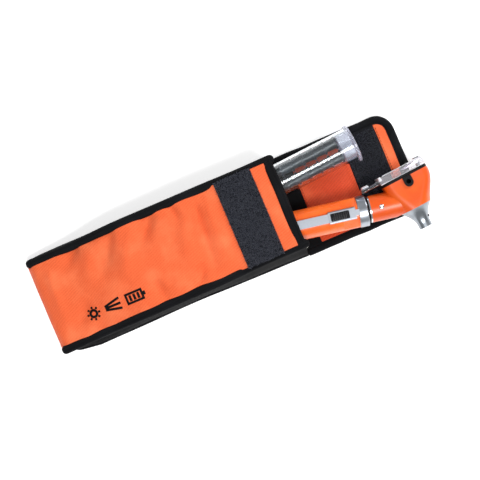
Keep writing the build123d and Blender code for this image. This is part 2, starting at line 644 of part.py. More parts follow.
def make_switch_plate():
    """Silver channel on the handle that guides the switch, with a tongue over the collar."""
    half = PLATE_WIDTH / 2
    body = block(PLATE_BACK, PLATE_FRONT, -half, half, HANDLE_R - 1.5, CLIP_TOP)
    body = fillet(body.edges().filter_by(Axis.X).sort_by(Axis.Z)[-2:], 0.7)
    inside = half - PLATE_LEG
    body -= block(PLATE_BACK + PLATE_LEG, PLATE_FRONT - PLATE_LEG, -inside, inside, 0, CLIP_Z)
    body += block(
        PLATE_FRONT, PLATE_FRONT + TONGUE_LENGTH, -TONGUE_WIDTH / 2, TONGUE_WIDTH / 2,
        COLLAR_R + 0.2, COLLAR_R + 1.0,
    )
    slot = STEM_WIDTH / 2 + STEM_GAP
    slot_back = STEM_S - STEM_LENGTH / 2 - STEM_GAP
    slot_front = STEM_S + STEM_LENGTH / 2 + SWITCH_TRAVEL + STEM_GAP
    body -= block(slot_back, slot_front, -slot, slot, 0, CLIP_TOP + 1)
    return body - rod(PLATE_BACK - 1, PLATE_FRONT + 1, HANDLE_R + SEAT)


def make_clip():
    """Pocket clip: a sprung strip that bends down to the handle at its tip."""
    root = PLATE_BACK - FACE_GAP
    half = CLIP_WIDTH / 2
    tip = root - CLIP_LENGTH
    drop = CLIP_GAP - 0.2
    upper = [(root, CLIP_TOP), (tip + CLIP_BEND, CLIP_TOP), (tip, CLIP_TOP - drop)]
    lower = [(tip, CLIP_Z - drop), (tip + CLIP_BEND, CLIP_Z), (root, CLIP_Z)]
    strip = extrude(Plane.XZ * make_face(Polyline(*upper, *lower, close=True)), half, both=True)
    corners = strip.edges().filter_by(Axis.Z).sort_by(Axis.X)[:2]
    return fillet(corners, 1.8)


def make_switch():
    """Sliding switch: a ribbed rubber pad on a silver carrier, and its contact in the handle."""
    half = PAD_WIDTH / 2
    pad = block(PAD_BACK, PAD_BACK + PAD_LENGTH, -half, half, CLIP_TOP + FACE_GAP, CLIP_TOP + FACE_GAP + 0.65)
    pad = fillet(pad.edges().filter_by(Axis.Z), 0.6)
    pitch = PAD_LENGTH / PAD_RIBS
    for index in range(PAD_RIBS):
        x = PAD_BACK + (index + 0.5) * pitch
        pad += block(x - 0.3 * pitch, x + 0.3 * pitch, -half + 0.3, half - 0.3, CLIP_TOP + 0.7, PAD_TOP)
    stem_half = STEM_LENGTH / 2
    contact_top = HANDLE_BORE_R - 0.5
    stem = block(
        STEM_S - stem_half, STEM_S + stem_half, -STEM_WIDTH / 2, STEM_WIDTH / 2,
        contact_top, CLIP_TOP + FACE_GAP,
    )
    contact = block(STEM_S - 2.6, STEM_S + 2.6, -2.0, 2.0, contact_top - 0.5, contact_top)
    return {"switch_pad": pad, "switch_stem": stem, "switch_contact": contact}


def make_cell(back):
    """One AA cell lying along X, stud forwards."""
    front = back + CELL_LENGTH
    stud = front + CELL_STUD_LENGTH
    return turned([
        (back, 0), (back, CELL_R - 0.8), (back + 0.6, CELL_R), (front - 0.6, CELL_R),
        (front, CELL_R - 0.8), (front, CELL_STUD_R), (stud, CELL_STUD_R), (stud, 0),
    ])


def make_handle():
    """Everything that turns with the handle when it is unlocked from the head."""
    disc_back = CELL_BACK + 2 * CELL_PITCH + SEAT
    return {
        "handle_tube": make_handle_tube(),
        "locking_collar": make_collar(),
        "switch_plate": make_switch_plate(),
        "cell_lower": make_cell(CELL_BACK),
        "cell_upper": make_cell(CELL_BACK + CELL_PITCH),
        "contact_disc": rod(disc_back, disc_back + 0.8, HANDLE_BORE_R - SEAT),
    }


def make_end_cap():
    """Silver screw cap with a coin slot, and its seal."""
    back = HANDLE_BACK - SEAL - END_CAP_LENGTH
    face = HANDLE_BACK - SEAL
    cap = turned([
        (back, 0), (back, END_CAP_R - 2.2), (back + 0.7, END_CAP_R - 0.9), (back + 2.0, END_CAP_R),
        (face, END_CAP_R), (face, HANDLE_BORE_R - RUNNING),
        (SPRING_BACK, HANDLE_BORE_R - RUNNING), (SPRING_BACK, 0),
    ])
    cap -= block(back - 1, back + 1.2, -CAP_SLOT_WIDTH / 2, CAP_SLOT_WIDTH / 2, -20, 20)
    seal = ring(face, HANDLE_BACK - FACE_GAP, HANDLE_R - 0.2, HANDLE_BORE_R)
    return {"end_cap": cap, "cap_seal": seal}


def make_spring():
    """Battery spring: a helix between the end cap and the lower cell."""
    length = SPRING_LENGTH - SPRING_WIRE - FACE_GAP
    path = Helix(pitch=length / SPRING_TURNS, height=length, radius=SPRING_R)
    start = path @ 0
    section = Plane(origin=start, z_dir=path % 0) * Circle(SPRING_WIRE / 2)
    coil = sweep(section, path=path)
    return {"battery_spring": Pos(SPRING_BACK + FACE_GAP + SPRING_WIRE / 2, 0, 0) * Rot(0, 90, 0) * coil}


# ---------------------------------------------------------------- specula tube
def make_speculum(rim_x, rim_r):
    """One ear speculum, its rim at rim_x and its tip towards -X."""
    tip = rim_x - SPECULUM_LENGTH
    skirt = rim_r - SPECULUM_WALL
    bore = skirt - SPECULUM_WALL
    tip_bore = SPECULUM_TIP_R - SPECULUM_WALL
    return turned([
        (rim_x, bore), (rim_x, rim_r), (rim_x - SPECULUM_RIM, rim_r), (rim_x - SPECULUM_RIM, skirt),
        (tip, SPECULUM_TIP_R), (tip, tip_bore), (rim_x - SPECULUM_RIM, bore),
    ])


def make_tube():
    """Clear tube with two stacks of nested specula."""
    inner_r = TUBE_R - TUBE_WALL
    shell = rod(-TUBE_LENGTH, 0, TUBE_R)
    shell = fillet(shell.edges().sort_by(Axis.X)[0], TUBE_END_ROUND)
    core = rod(-TUBE_LENGTH + TUBE_WALL, 1, inner_r)
    core = fillet(core.edges().sort_by(Axis.X)[0], TUBE_END_ROUND - TUBE_WALL)
    first = -CAP_PLUG_LENGTH - 0.5
    nodes = {"specula_tube": shell - core}
    for name, rim_r, side in (("specula_large", LARGE_RIM_R, 1), ("specula_small", SMALL_RIM_R, -1)):
        rims = [first - index * SPECULUM_PITCH for index in range(SPECULA_PER_ROW)]
        offset = side * (inner_r - rim_r - ROW_GAP)
        nodes[name] = Compound([Pos(0, offset, 0) * make_speculum(rim, rim_r) for rim in rims])
    return nodes


def make_tube_cap():
    """Milky cap: a flange that stands proud of the tube, and a hollow plug."""
    plug_r = TUBE_R - TUBE_WALL - RUNNING
    plug = ring(-CAP_PLUG_LENGTH, FACE_GAP, plug_r, plug_r - CAP_PLUG_WALL)
    flange = rod(FACE_GAP, CAP_FLANGE, CAP_FLANGE_R)
    return {"tube_cap": plug + fillet(flange.edges().filter_by(GeomType.CIRCLE), 0.4)}


# ---------------------------------------------------------------- write every node
def place(nodes, location):
    """The same nodes, moved from their own frame to the kit's."""
    return {name: location * shape for name, shape in nodes.items()}


def all_nodes():
    """Every node of the kit in the kit's frame."""
    nodes = {**make_pouch(), **make_flap()}
    instrument = {**make_head(), **make_magnifier(), **make_handle()}
    instrument.update({"pocket_clip": make_clip(), **make_switch(), **make_end_cap(), **make_spring()})
    nodes.update(place(instrument, INSTRUMENT))
    nodes.update(place({**make_tube(), **make_tube_cap()}, TUBE))
    return nodes


if __name__ == "__main__":
    os.makedirs("parts", exist_ok=True)
    for node_name, node_shape in all_nodes().items():
        export_step(node_shape, f"parts/{node_name}.step")
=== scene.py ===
import json
import logging
import math
from dataclasses import dataclass, field
from enum import Enum
from typing import ClassVar

import bmesh
import bpy
import numpy as np
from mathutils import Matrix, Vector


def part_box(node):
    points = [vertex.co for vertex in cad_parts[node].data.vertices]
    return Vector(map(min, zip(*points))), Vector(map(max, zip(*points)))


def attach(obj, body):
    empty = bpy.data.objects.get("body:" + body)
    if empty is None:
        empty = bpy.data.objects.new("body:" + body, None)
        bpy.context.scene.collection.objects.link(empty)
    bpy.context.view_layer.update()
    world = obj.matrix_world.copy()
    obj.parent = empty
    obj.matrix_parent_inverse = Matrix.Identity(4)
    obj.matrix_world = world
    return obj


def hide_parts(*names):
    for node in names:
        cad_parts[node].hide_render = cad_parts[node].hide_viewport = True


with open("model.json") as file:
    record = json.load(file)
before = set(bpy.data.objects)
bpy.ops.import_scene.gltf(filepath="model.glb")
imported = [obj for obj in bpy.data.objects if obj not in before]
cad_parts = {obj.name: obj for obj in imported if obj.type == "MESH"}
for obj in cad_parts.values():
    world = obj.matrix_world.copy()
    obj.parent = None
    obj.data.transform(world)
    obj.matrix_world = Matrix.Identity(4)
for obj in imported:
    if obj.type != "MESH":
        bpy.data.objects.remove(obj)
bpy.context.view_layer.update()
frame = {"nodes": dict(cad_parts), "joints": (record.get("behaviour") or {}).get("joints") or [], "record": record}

MM = 0.001
LOG = logging.getLogger("kit")


# ---------------------------------------------------------------- places
def unit(vector: np.ndarray) -> np.ndarray:
    """The vector at length one, along its last axis."""
    return vector / np.maximum(np.linalg.norm(vector, axis=-1, keepdims=True), 1e-12)


def smooth_step(value: np.ndarray, low: float, high: float) -> np.ndarray:
    """0 below low, 1 above high, and an even S between them: 3t^2 - 2t^3."""
    t = np.clip((value - low) / (high - low), 0, 1)
    return t * t * (3 - 2 * t)


@dataclass(frozen=True)
class Axes:
    """A local frame: an origin and three directions of length one.

    Args:
        origin: the local zero, in metres.
        x: the local X direction.
        y: the local Y direction.
        z: the local Z direction.
    """

    origin: np.ndarray
    x: np.ndarray
    y: np.ndarray
    z: np.ndarray

    def place(self, points: np.ndarray) -> np.ndarray:
        return self.origin + points @ np.stack([self.x, self.y, self.z])

    def shifted(self, x: float = 0.0, y: float = 0.0, z: float = 0.0) -> "Axes":
        """The same directions about another local point."""
        return Axes(self.place(np.array([x, y, z])), self.x, self.y, self.z)


def joint(name: str) -> dict:
    """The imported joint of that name."""
    return next(each for each in frame["joints"] if each["name"] == name)


def mount(name: str) -> dict:
    """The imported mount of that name."""
    return next(each for each in frame["record"]["mounts"] if each["name"] == name)


UP = np.array([0.0, 0.0, 1.0])
KIT = Axes(np.zeros(3), np.array([1.0, 0, 0]), np.array([0, 1.0, 0]), UP)


# ---------------------------------------------------------------- surfaces
@dataclass
class Patch:
    """A surface before it becomes a mesh.

    Args:
        points: corner points, n by 3.
        quads: four point numbers for each face.
        uv: texture coordinates of each face's corners, in metres, m by 4 by 2.
    """

    points: np.ndarray
    quads: np.ndarray
    uv: np.ndarray

    @classmethod
    def grid(cls, points: np.ndarray, uv: np.ndarray | None = None,
             loop_u: bool = False, loop_v: bool = False) -> "Patch":
        """Faces between the neighbours of a grid of points.

        Args:
            points: nu by nv by 3.
            uv: nu by nv by 2, or None for the running length along each way of the grid.
            loop_u: whether the last row joins the first.
            loop_v: whether the last column joins the first.

        Returns:
            The patch, its faces turning from u to v about their outward side.
        """
        nu, nv = points.shape[:2]
        if uv is None:
            uv = cls.lengths(points)
        iu = np.arange(nu if loop_u else nu - 1)
        iv = np.arange(nv if loop_v else nv - 1)
        u, v = np.meshgrid(iu, iv, indexing="ij")
        corners = [(u, v), (u + 1, v), (u + 1, v + 1), (u, v + 1)]
        quads = np.stack([(a % nu) * nv + b % nv for a, b in corners], axis=-1).reshape(-1, 4)
        step_u = np.linalg.norm(points[0] - points[-1], axis=-1).mean() if loop_u else 0.0
        step_v = np.linalg.norm(points[:, 0] - points[:, -1], axis=-1).mean() if loop_v else 0.0
        rows = []
        for a, b in corners:
            spot = uv[a % nu, b % nv].copy()
            spot[..., 0] += np.where(a >= nu, uv[-1, 0, 0] + step_u, 0)
            spot[..., 1] += np.where(b >= nv, uv[0, -1, 1] + step_v, 0)
            rows.append(spot)
        return cls(points.reshape(-1, 3), quads, np.stack(rows, axis=-2).reshape(-1, 4, 2))

    @staticmethod
    def lengths(points: np.ndarray) -> np.ndarray:
        """Mean running length along each way of a grid, as nu by nv by 2."""
        du = np.linalg.norm(np.diff(points, axis=0), axis=-1).mean(axis=1)
        dv = np.linalg.norm(np.diff(points, axis=1), axis=-1).mean(axis=0)
        u = np.concatenate([[0], np.cumsum(du)])
        v = np.concatenate([[0], np.cumsum(dv)])
        return np.stack(np.meshgrid(u, v, indexing="ij"), axis=-1)

    @classmethod
    def joined(cls, patches: list["Patch"]) -> "Patch":
        """Several patches as one."""
        starts = np.cumsum([0] + [len(each.points) for each in patches[:-1]])
        return cls(
            np.concatenate([each.points for each in patches]),
            np.concatenate([each.quads + start for each, start in zip(patches, starts)]),
            np.concatenate([each.uv for each in patches]),
        )

    def flipped(self) -> "Patch":
        """The same surface facing the other way."""
        return Patch(self.points, self.quads[:, ::-1], self.uv[:, ::-1])

    def placed(self, axes: Axes) -> "Patch":
        return Patch(axes.place(self.points), self.quads, self.uv)

    def repeated(self, origins: np.ndarray, turns: np.ndarray) -> "Patch":
        """Many copies at once: each copy's points are turned by a matrix, then moved.

        Args:
            origins: where each copy's zero goes, n by 3.
            turns: each copy's local directions as rows, n by 3 by 3.

        Returns:
            One patch with n copies.
        """
        count, size = len(origins), len(self.points)
        points = np.einsum("pk,nkc->npc", self.points, turns) + origins[:, None]
        quads = self.quads[None] + (np.arange(count) * size)[:, None, None]
        uv = np.broadcast_to(self.uv, (count, *self.uv.shape))
        return Patch(points.reshape(-1, 3), quads.reshape(-1, 4), uv.reshape(-1, 4, 2).copy())


def lathe(profile: list[tuple[float, float]], axes: Axes, sides: int = 96, loop: bool = False) -> Patch:
    """A profile of (along, radius) turned about the local X axis.

    Formula: (a, r) at the angle t goes to (a, r cos t, r sin t). A profile that runs towards
    +X faces outwards.
    """
    line = np.array(profile)
    angle = -np.linspace(0, 2 * math.pi, sides, endpoint=False)
    points = np.empty((len(line), sides, 3))
    points[..., 0] = line[:, :1]
    points[..., 1] = line[:, 1:] * np.cos(angle)
    points[..., 2] = line[:, 1:] * np.sin(angle)
    return Patch.grid(points, loop_u=loop, loop_v=True).placed(axes)


def softened(profile: list[tuple[float, float]], radius: float, steps: int = 4,
             loop: bool = False) -> list[tuple[float, float]]:
    """A profile with each corner cut by a quadratic curve that starts radius before it.

    Formula: between a and c with the corner b, the curve is (1-t)^2 a + 2t(1-t) b + t^2 c.
    """
    line = np.array(profile, float)
    count = len(line)
    inner = range(count) if loop else range(1, count - 1)
    out = [] if loop else [line[:1]]
    t = np.linspace(0, 1, steps + 1)[:, None]
    for i in inner:
        before, here, after = line[i - 1], line[i], line[(i + 1) % count]
        reach = min(radius, 0.45 * np.linalg.norm(before - here), 0.45 * np.linalg.norm(after - here))
        a = here + unit(before - here) * reach
        c = here + unit(after - here) * reach
        out.append((1 - t) ** 2 * a + 2 * t * (1 - t) * here + t * t * c)
    if not loop:
        out.append(line[-1:])
    return [tuple(each) for each in np.concatenate(out)]


def evened(path: np.ndarray, step: float) -> np.ndarray:
    """A path cut again into even steps of about that length, straight between its points."""
    lengths = np.concatenate([[0], np.cumsum(np.linalg.norm(np.diff(path, axis=0), axis=1))])
    count = max(int(round(lengths[-1] / step)), 1) + 1
    at = np.linspace(0, lengths[-1], count)
    return np.stack([np.interp(at, lengths, path[:, k]) for k in range(path.shape[1])], axis=1)


def eased(path: np.ndarray, rounds: int) -> np.ndarray:
    """A path with its inner points averaged with their neighbours, round after round."""
    out = path.copy()
    for _ in range(rounds):
        out[1:-1] = 0.25 * out[:-2] + 0.5 * out[1:-1] + 0.25 * out[2:]
    return out


def swept(path: np.ndarray, profile: np.ndarray, up: np.ndarray, ends: float = 0.0) -> Patch:
    """A closed profile carried along a path.

    Formula: the profile's (a, b) goes to path + a * side + b * top, where side is the
    tangent crossed with up and top is side crossed with the tangent, negated to point up. At each
    end the profile shrinks to a point along a quarter ellipse of depth ends.

    Args:
        path: n by 3.
        profile: m by 2, across and up, anticlockwise.
        up: one direction, or n of them.
        ends: how far the rounded ends stand out.

    Returns:
        The closed patch.
    """
    tangent = unit(np.gradient(path, axis=0))
    side = unit(np.cross(tangent, np.broadcast_to(up, path.shape)))
    top = np.cross(side, tangent)
    points = path[:, None] + side[:, None] * profile[:, 0, None] + top[:, None] * profile[:, 1, None]
    turn = np.linspace(0, math.pi / 2, 6)[1:]
    heads = []
    for row, out in ((points[0], -tangent[0]), (points[-1], tangent[-1])):
        middle = row.mean(axis=0)
        shrink = np.cos(turn)[:, None, None]
        heads.append(middle + (row - middle) * shrink + out * ends * np.sin(turn)[:, None, None])
    points = np.concatenate([heads[0][::-1], points, heads[1]])
    return Patch.grid(points, loop_v=True)


def rounded_bar(width: float, height: float, corner: float, steps: int = 4) -> np.ndarray:
    """Section of a bar, width by height about zero, its corners rounded, anticlockwise."""
    w, h = width / 2, height / 2
    corners = [(w, -h), (w, h), (-w, h), (-w, -h)]
    return np.array(softened(corners, corner * 1.4, steps, loop=True))


def disc(outline: np.ndarray, heights: list[tuple[float, float]], base: float) -> Patch:
    """A closed slab over an outline: rings shrink towards its middle on the top and bottom.

    Formula: ring k is the outline moved inwards by an inset and set at a height, the last
    ring of each side shrinks to the middle.

    Args:
        outline: n by 2, anticlockwise.
        heights: (inset, height) of the top's rings, from the rim inwards.
        base: height of the flat bottom.

    Returns:
        The closed patch.
    """
    tangent = unit(np.roll(outline, -1, axis=0) - np.roll(outline, 1, axis=0))
    inwards = np.stack([-tangent[:, 1], tangent[:, 0]], axis=1)
    rings = []
    for inset, height in heights:
        ring = outline + inwards * inset
        rings.append(np.concatenate([ring, np.full((len(ring), 1), height)], axis=1))
    middle = rings[-1].mean(axis=0)
    for share in (0.75, 0.5, 0.25, 0.0):
        rings.append(middle + (rings[-1] - middle) * (share / (share + 0.25)))
    low = rings[0].copy()
    low[:, 2] = base
    centre = low.mean(axis=0)
    under = [centre + (low - centre) * share for share in (0.0, 0.5, 1.0)]
    points = np.stack(under + rings)
    return Patch.grid(points, uv=points[..., :2], loop_v=True)


def rounded_outline(x0: float, x1: float, y0: float, y1: float, corners: tuple[float, ...],
                    step: float = 1.5 * MM) -> np.ndarray:
    """Rectangle outline, anticlockwise from its low corner, with its own radius at each corner.

    Args:
        x0, x1, y0, y1: the sides.
        corners: radii at (x0, y0), (x1, y0), (x1, y1) and (x0, y1).
        step: the length between points.

    Returns:
        n by 2 points, even along the outline.
    """
    centres = [
        (x0 + corners[0], y0 + corners[0], 180), (x1 - corners[1], y0 + corners[1], 270),
        (x1 - corners[2], y1 - corners[2], 0), (x0 + corners[3], y1 - corners[3], 90),
    ]
    arcs = []
    for (x, y, start), radius in zip(centres, corners):
        angle = np.radians(start + np.linspace(0, 90, 13))
        arcs.append(np.stack([x + radius * np.cos(angle), y + radius * np.sin(angle)], axis=1))
    line = np.concatenate(arcs + [arcs[0][:1]])
    return evened(line, step)[:-1]


# ---------------------------------------------------------------- shader expressions
Value = "Wire | float | tuple[float, ...]"


def paint(code: str) -> tuple[float, float, float, float]:
    """A screen colour such as 'f08030' as the linear colour that shaders take."""
    parts = [int(code[i:i + 2], 16) / 255 for i in (0, 2, 4)]
    return (*[p / 12.92 if p <= 0.04045 else ((p + 0.055) / 1.055) ** 2.4 for p in parts], 1.0)


class Wire:
    """A node's output in an expression: each operator adds a Math node."""

    def __init__(self, tree: "Tree", socket: bpy.types.NodeSocket) -> None:
        """Keeps the tree that new nodes go in, and the socket."""
        self.tree = tree
        self.socket = socket

    def math(self, operation: str, *values: Value) -> "Wire":
        """A Math node of that operation on those values."""
        return self.tree.add("ShaderNodeMath", {"operation": operation}, dict(enumerate(values)))

    def __add__(self, other: Value) -> "Wire":
        """self + other."""
        return self.math("ADD", self, other)

    __radd__ = __add__

    def __sub__(self, other: Value) -> "Wire":
        """self - other."""
        return self.math("SUBTRACT", self, other)

    def __rsub__(self, other: Value) -> "Wire":
        """other - self."""
        return self.math("SUBTRACT", other, self)

    def __mul__(self, other: Value) -> "Wire":
        """self * other."""
        return self.math("MULTIPLY", self, other)

    __rmul__ = __mul__

    def __truediv__(self, other: Value) -> "Wire":
        """self / other."""
        return self.math("DIVIDE", self, other)

    def __pow__(self, other: float) -> "Wire":
        """self ** other."""
        return self.math("POWER", self, other)

    def sine(self, pitch: float) -> "Wire":
        """0.5 + 0.5 sin(2 pi self / pitch)."""
        return self.math("SINE", self * (2 * math.pi / pitch)) * 0.5 + 0.5

    def between(self, low: float, high: float) -> "Wire":
        """0 below low, 1 above high, smooth between them."""
        settings = {"interpolation_type": "SMOOTHSTEP"}
        return self.tree.add("ShaderNodeMapRange", settings, {0: self, 1: low, 2: high, 3: 0.0, 4: 1.0})


class Tree:
    """The nodes of one material."""

    def __init__(self, name: str) -> None:
        """Makes an empty material of that name."""
        self.material = bpy.data.materials.new(name)
        self.material.use_nodes = True
        self.material.node_tree.nodes.clear()

    def add(self, kind: str, settings: dict | None = None, sockets: dict | None = None,
            output: int = 0) -> Wire:
        """Adds any node.

        Args:
            kind: the node's type.
            settings: its properties, set first.
            sockets: values or wires by the input's name or number.
            output: which output is wanted.

        Returns:
            That output.
        """
        node = self.material.node_tree.nodes.new(kind)
        for key, value in (settings or {}).items():
            setattr(node, key, value)
        for key, value in (sockets or {}).items():
            if isinstance(value, Wire):
                self.material.node_tree.links.new(value.socket, node.inputs[key])
            else:
                node.inputs[key].default_value = value
        return Wire(self, node.outputs[output]) if node.outputs else Wire(self, node.inputs[0])

    def place(self, kind: int = 3) -> Wire:
        """Object coordinates, or the UV map with kind 2."""
        return self.add("ShaderNodeTexCoord", output=kind)

    def split(self, vector: Wire) -> list[Wire]:
        """The three numbers of a vector."""
        first = self.add("ShaderNodeSeparateXYZ", sockets={0: vector})
        return [Wire(self, output) for output in first.socket.node.outputs]

    def stretched(self, vector: Wire, scale: tuple[float, float, float]) -> Wire:
        """The vector times a number along each axis."""
        return self.add("ShaderNodeVectorMath", {"operation": "MULTIPLY"}, {0: vector, 1: scale})

    def noise(self, vector: Wire, size: float, detail: float = 2.0, rough: float = 0.5) -> Wire:
        """Soft noise about 0.5 with lumps of that size, in metres."""
        sockets = {"Vector": vector, "Scale": 1 / size, "Detail": detail, "Roughness": rough}
        return self.add("ShaderNodeTexNoise", None, sockets)

    def mixed(self, share: Value, first: Value, second: Value) -> Wire:
        """The first colour at share 0 and the second at 1."""
        return self.add("ShaderNodeMix", {"data_type": "RGBA"}, {0: share, 6: first, 7: second}, 2)

    def bump(self, height: Wire, depth: float, strength: float = 1.0) -> Wire:
        """The normal of a surface that rises by depth, in metres, where height is 1."""
        return self.add("ShaderNodeBump", None, {"Height": height, "Distance": depth, "Strength": strength})

    def surface(self, **sockets: Value) -> Wire:
        """A Principled shader; an underscore in a socket's name stands for a space."""
        named = {key.replace("_", " "): value for key, value in sockets.items()}
        return self.add("ShaderNodeBsdfPrincipled", None, named)

    def done(self, shader: Wire) -> bpy.types.Material:
        """Joins the shader to the output and gives the material."""
        self.add("ShaderNodeOutputMaterial", None, {"Surface": shader})
        return self.material


class Finish:
    """What every finish shares: its material is built once, when it is first asked for."""

    made: ClassVar[dict[str, bpy.types.Material]] = {}
    name: str

    def build(self) -> bpy.types.Material:
        """Builds the material."""
        raise NotImplementedError

    def material(self) -> bpy.types.Material:
        """The finish's material."""
        if self.name not in self.made:
            self.made[self.name] = self.build()
        return self.made[self.name]


class Weave(Enum):
    """How a cloth is made."""

    TWILL = "diagonal ribs"
    RIB = "ribs across the tape"
    PLAIN = "threads over and under each other"
    PILE = "napped"


@dataclass(frozen=True)
class Cloth(Finish):
    """A woven or napped cloth, laid out on the piece's UV map in metres.

    Args:
        name: the material's name.
        colour: of the raised threads.
        shade: painted shade between the threads, taken where the weave is low.
        worn: where the cloth is rubbed.
        weave: how it is made.
        pitch: from thread to thread, in metres.
        relief: depth of the weave, in metres.
        rough: roughness.
        fuzz: sheen weight.
        blotch: how strongly the colour varies from place to place.
        gloss: specular level.
    """

    name: str
    colour: str
    shade: str
    worn: str
    weave: Weave
    pitch: float
    relief: float
    rough: float = 0.8
    fuzz: float = 0.15
    blotch: float = 0.35
    gloss: float = 0.3

    def pattern(self, tree: Tree, uv: Wire) -> Wire:
        """Height of the weave, 0 to 1, as sines of the running lengths."""
        wander = tree.noise(uv, 6 * MM, 1.0) * (0.5 * self.pitch)
        u, v, _ = tree.split(uv)
        u = u + wander
        if self.weave is Weave.TWILL:
            return (u + v).sine(self.pitch) * ((u - v).sine(self.pitch * 0.61) * 0.45 + 0.55)
        if self.weave is Weave.RIB:
            return u.sine(self.pitch) * (v.sine(self.pitch * 0.8) * 0.25 + 0.75)
        if self.weave is Weave.PLAIN:
            return (u.sine(self.pitch) + v.sine(self.pitch)) * 0.5
        return tree.noise(uv, self.pitch, 3.0, 0.7)

    def build(self) -> bpy.types.Material:
        """Colour by height with painted shade in the weave's low parts, rubbed patches, and a second, coarser
        unevenness.
        """
        tree = Tree(self.name)
        uv = tree.place(2)
        height = self.pattern(tree, uv)
        cloud = tree.noise(uv, 22 * MM, 3.0)
        flecks = tree.noise(uv, 0.8 * MM, 1.0).between(0.45, 0.75)
        # painted shade: where the weave is low the colour falls to the darker shade colour
        colour = tree.mixed(height.between(0.05, 0.6), paint(self.shade), paint(self.colour))
        rubbed = cloud.between(0.42, 0.72) * self.blotch + flecks * (0.35 * self.blotch)
        colour = tree.mixed(rubbed, colour, paint(self.worn))
        lumps = tree.noise(uv, 3.5 * MM, 2.0)
        return tree.done(tree.surface(
            Base_Color=colour,
            Roughness=self.rough - rubbed * 0.12,
            Normal=tree.bump(height + lumps * 0.8, self.relief, 0.9),
            Sheen_Weight=self.fuzz,
            Sheen_Roughness=0.5,
            Specular_IOR_Level=self.gloss,
        ))


@dataclass(frozen=True)
class Moulded(Finish):
    """A moulded plastic or rubber: fine grain and faint handling marks.

    Args:
        name: the material's name.
        colour: the body colour.
        tint: the colour that drifts through it.
        rough: roughness.
        grain: size of the grain, in metres.
        relief: its depth, in metres.
        coat: clear gloss weight.
        gloss: specular level.
    """

    name: str
    colour: str
    tint: str
    rough: float = 0.35
    grain: float = 0.5 * MM
    relief: float = 0.01 * MM
    coat: float = 0.0
    gloss: float = 0.5

    def build(self) -> bpy.types.Material:
        """Noise of three sizes drives colour, roughness and bump."""
        tree = Tree(self.name)
        here = tree.place()
        drift = tree.noise(here, 9 * MM, 3.0).between(0.35, 0.75)
        marks = tree.noise(tree.stretched(here, (1.0, 6.0, 6.0)), 5 * MM, 4.0, 0.65).between(0.5, 0.8)
        grain = tree.noise(here, self.grain, 2.0)
        return tree.done(tree.surface(
            Base_Color=tree.mixed(drift * 0.6, paint(self.colour), paint(self.tint)),
            Roughness=marks * 0.12 + grain * 0.06 + (self.rough - 0.05),
            Normal=tree.bump(grain, self.relief),
            Coat_Weight=self.coat,
            Coat_Roughness=0.12,
            Specular_IOR_Level=self.gloss,
        ))


@dataclass(frozen=True)
class Metal(Finish):
    """A metal with fine brushing along one way and faint stains.

    Args:
        name: the material's name.
        colour: the clean metal.
        dull: where it is stained.
        rough: roughness.
        brush: how far noise is stretched along each axis; small is long.
        relief: depth of the brushing, in metres.
    """

    name: str
    colour: str
    dull: str
    rough: float = 0.25
    brush: tuple[float, float, float] = (1.0, 1.0, 1.0)
    relief: float = 0.004 * MM

    def build(self) -> bpy.types.Material:
        """Stretched noise is the brushing, and a wide one the stains."""
        tree = Tree(self.name)
        here = tree.place()
        lines = tree.noise(tree.stretched(here, self.brush), 0.25 * MM, 2.0, 0.6)
        stain = tree.noise(here, 7 * MM, 4.0, 0.6).between(0.4, 0.8)
        return tree.done(tree.surface(
            Base_Color=tree.mixed(stain * 0.5 + lines * 0.15, paint(self.colour), paint(self.dull)),
            Metallic=1.0,
            Roughness=stain * 0.12 + lines * 0.1 + (self.rough - 0.06),
            Normal=tree.bump(lines, self.relief),
        ))


@dataclass(frozen=True)
class Clear(Finish):
    """Clear or milky plastic that lets lamps through.

    Args:
        name: the material's name.
        colour: its tint.
        rough: roughness of the surface.
        milk: share of a scattering body in it, 0 to 1.
    """

    name: str
    colour: str
    rough: float = 0.03
    milk: float = 0.0

    def build(self) -> bpy.types.Material:
        """Glassy body with scuffs in its roughness; lamps see it as a clear tint."""
        tree = Tree(self.name)
        here = tree.place()
        scuffs = tree.noise(tree.stretched(here, (0.4, 3.0, 3.0)), 2 * MM, 4.0, 0.7).between(0.52, 0.8)
        body = tree.surface(
            Base_Color=tree.mixed(scuffs * 0.3, paint(self.colour), paint("ffffff")),
            Roughness=scuffs * 0.06 + self.rough,
            Transmission_Weight=1.0 - self.milk,
            IOR=1.45,
            Coat_Weight=0.3,
            Coat_Roughness=0.03,
        )
        lamp = tree.add("ShaderNodeLightPath", output=1)
        through = tree.add("ShaderNodeBsdfTransparent", None, {"Color": paint(self.colour)})
        return tree.done(tree.add("ShaderNodeMixShader", None, {0: lamp, 1: body, 2: through}))


ORANGE_TWILL = Cloth("orange_twill", "ee6d3c", "c8441a", "f68858", Weave.TWILL, 1.15 * MM, 0.16 * MM, fuzz=0.05)
# The lining's colours are darker and redder than the front's twill: partly the cloth's own colour, partly painted
# shade.
LINING = Cloth("orange_lining", "e04e26", "8c2408", "f47a4c", Weave.TWILL, 1.1 * MM, 0.22 * MM, fuzz=0.05)
TAPE = Cloth("black_tape", "0e0f12", "040405", "181a1e", Weave.RIB, 0.75 * MM, 0.12 * MM, 0.85, 0.0, 0.4, 0.12)
SMOOTH_TAPE = Cloth("black_webbing", "070709", "030304", "0c0d0f", Weave.PLAIN, 0.5 * MM, 0.05 * MM, 0.8, 0.0,
                    gloss=0.1)
LOOP_PILE = Cloth("loop_pile", "12131a", "050508", "1c1f29", Weave.PILE, 0.7 * MM, 0.5 * MM, 0.9, 0.03, 0.7, 0.15)
LOOP_FIBRE = Cloth("loop_fibre", "20232e", "08080c", "8a90a4", Weave.PILE, 1.1 * MM, 0.0, 0.7, 0.1, 0.9, 0.4)
HOOK_PILE = Cloth("hook_pile", "0e0f13", "040406", "16181e", Weave.PILE, 0.5 * MM, 0.4 * MM, 0.8, 0.02, 0.6, 0.15)
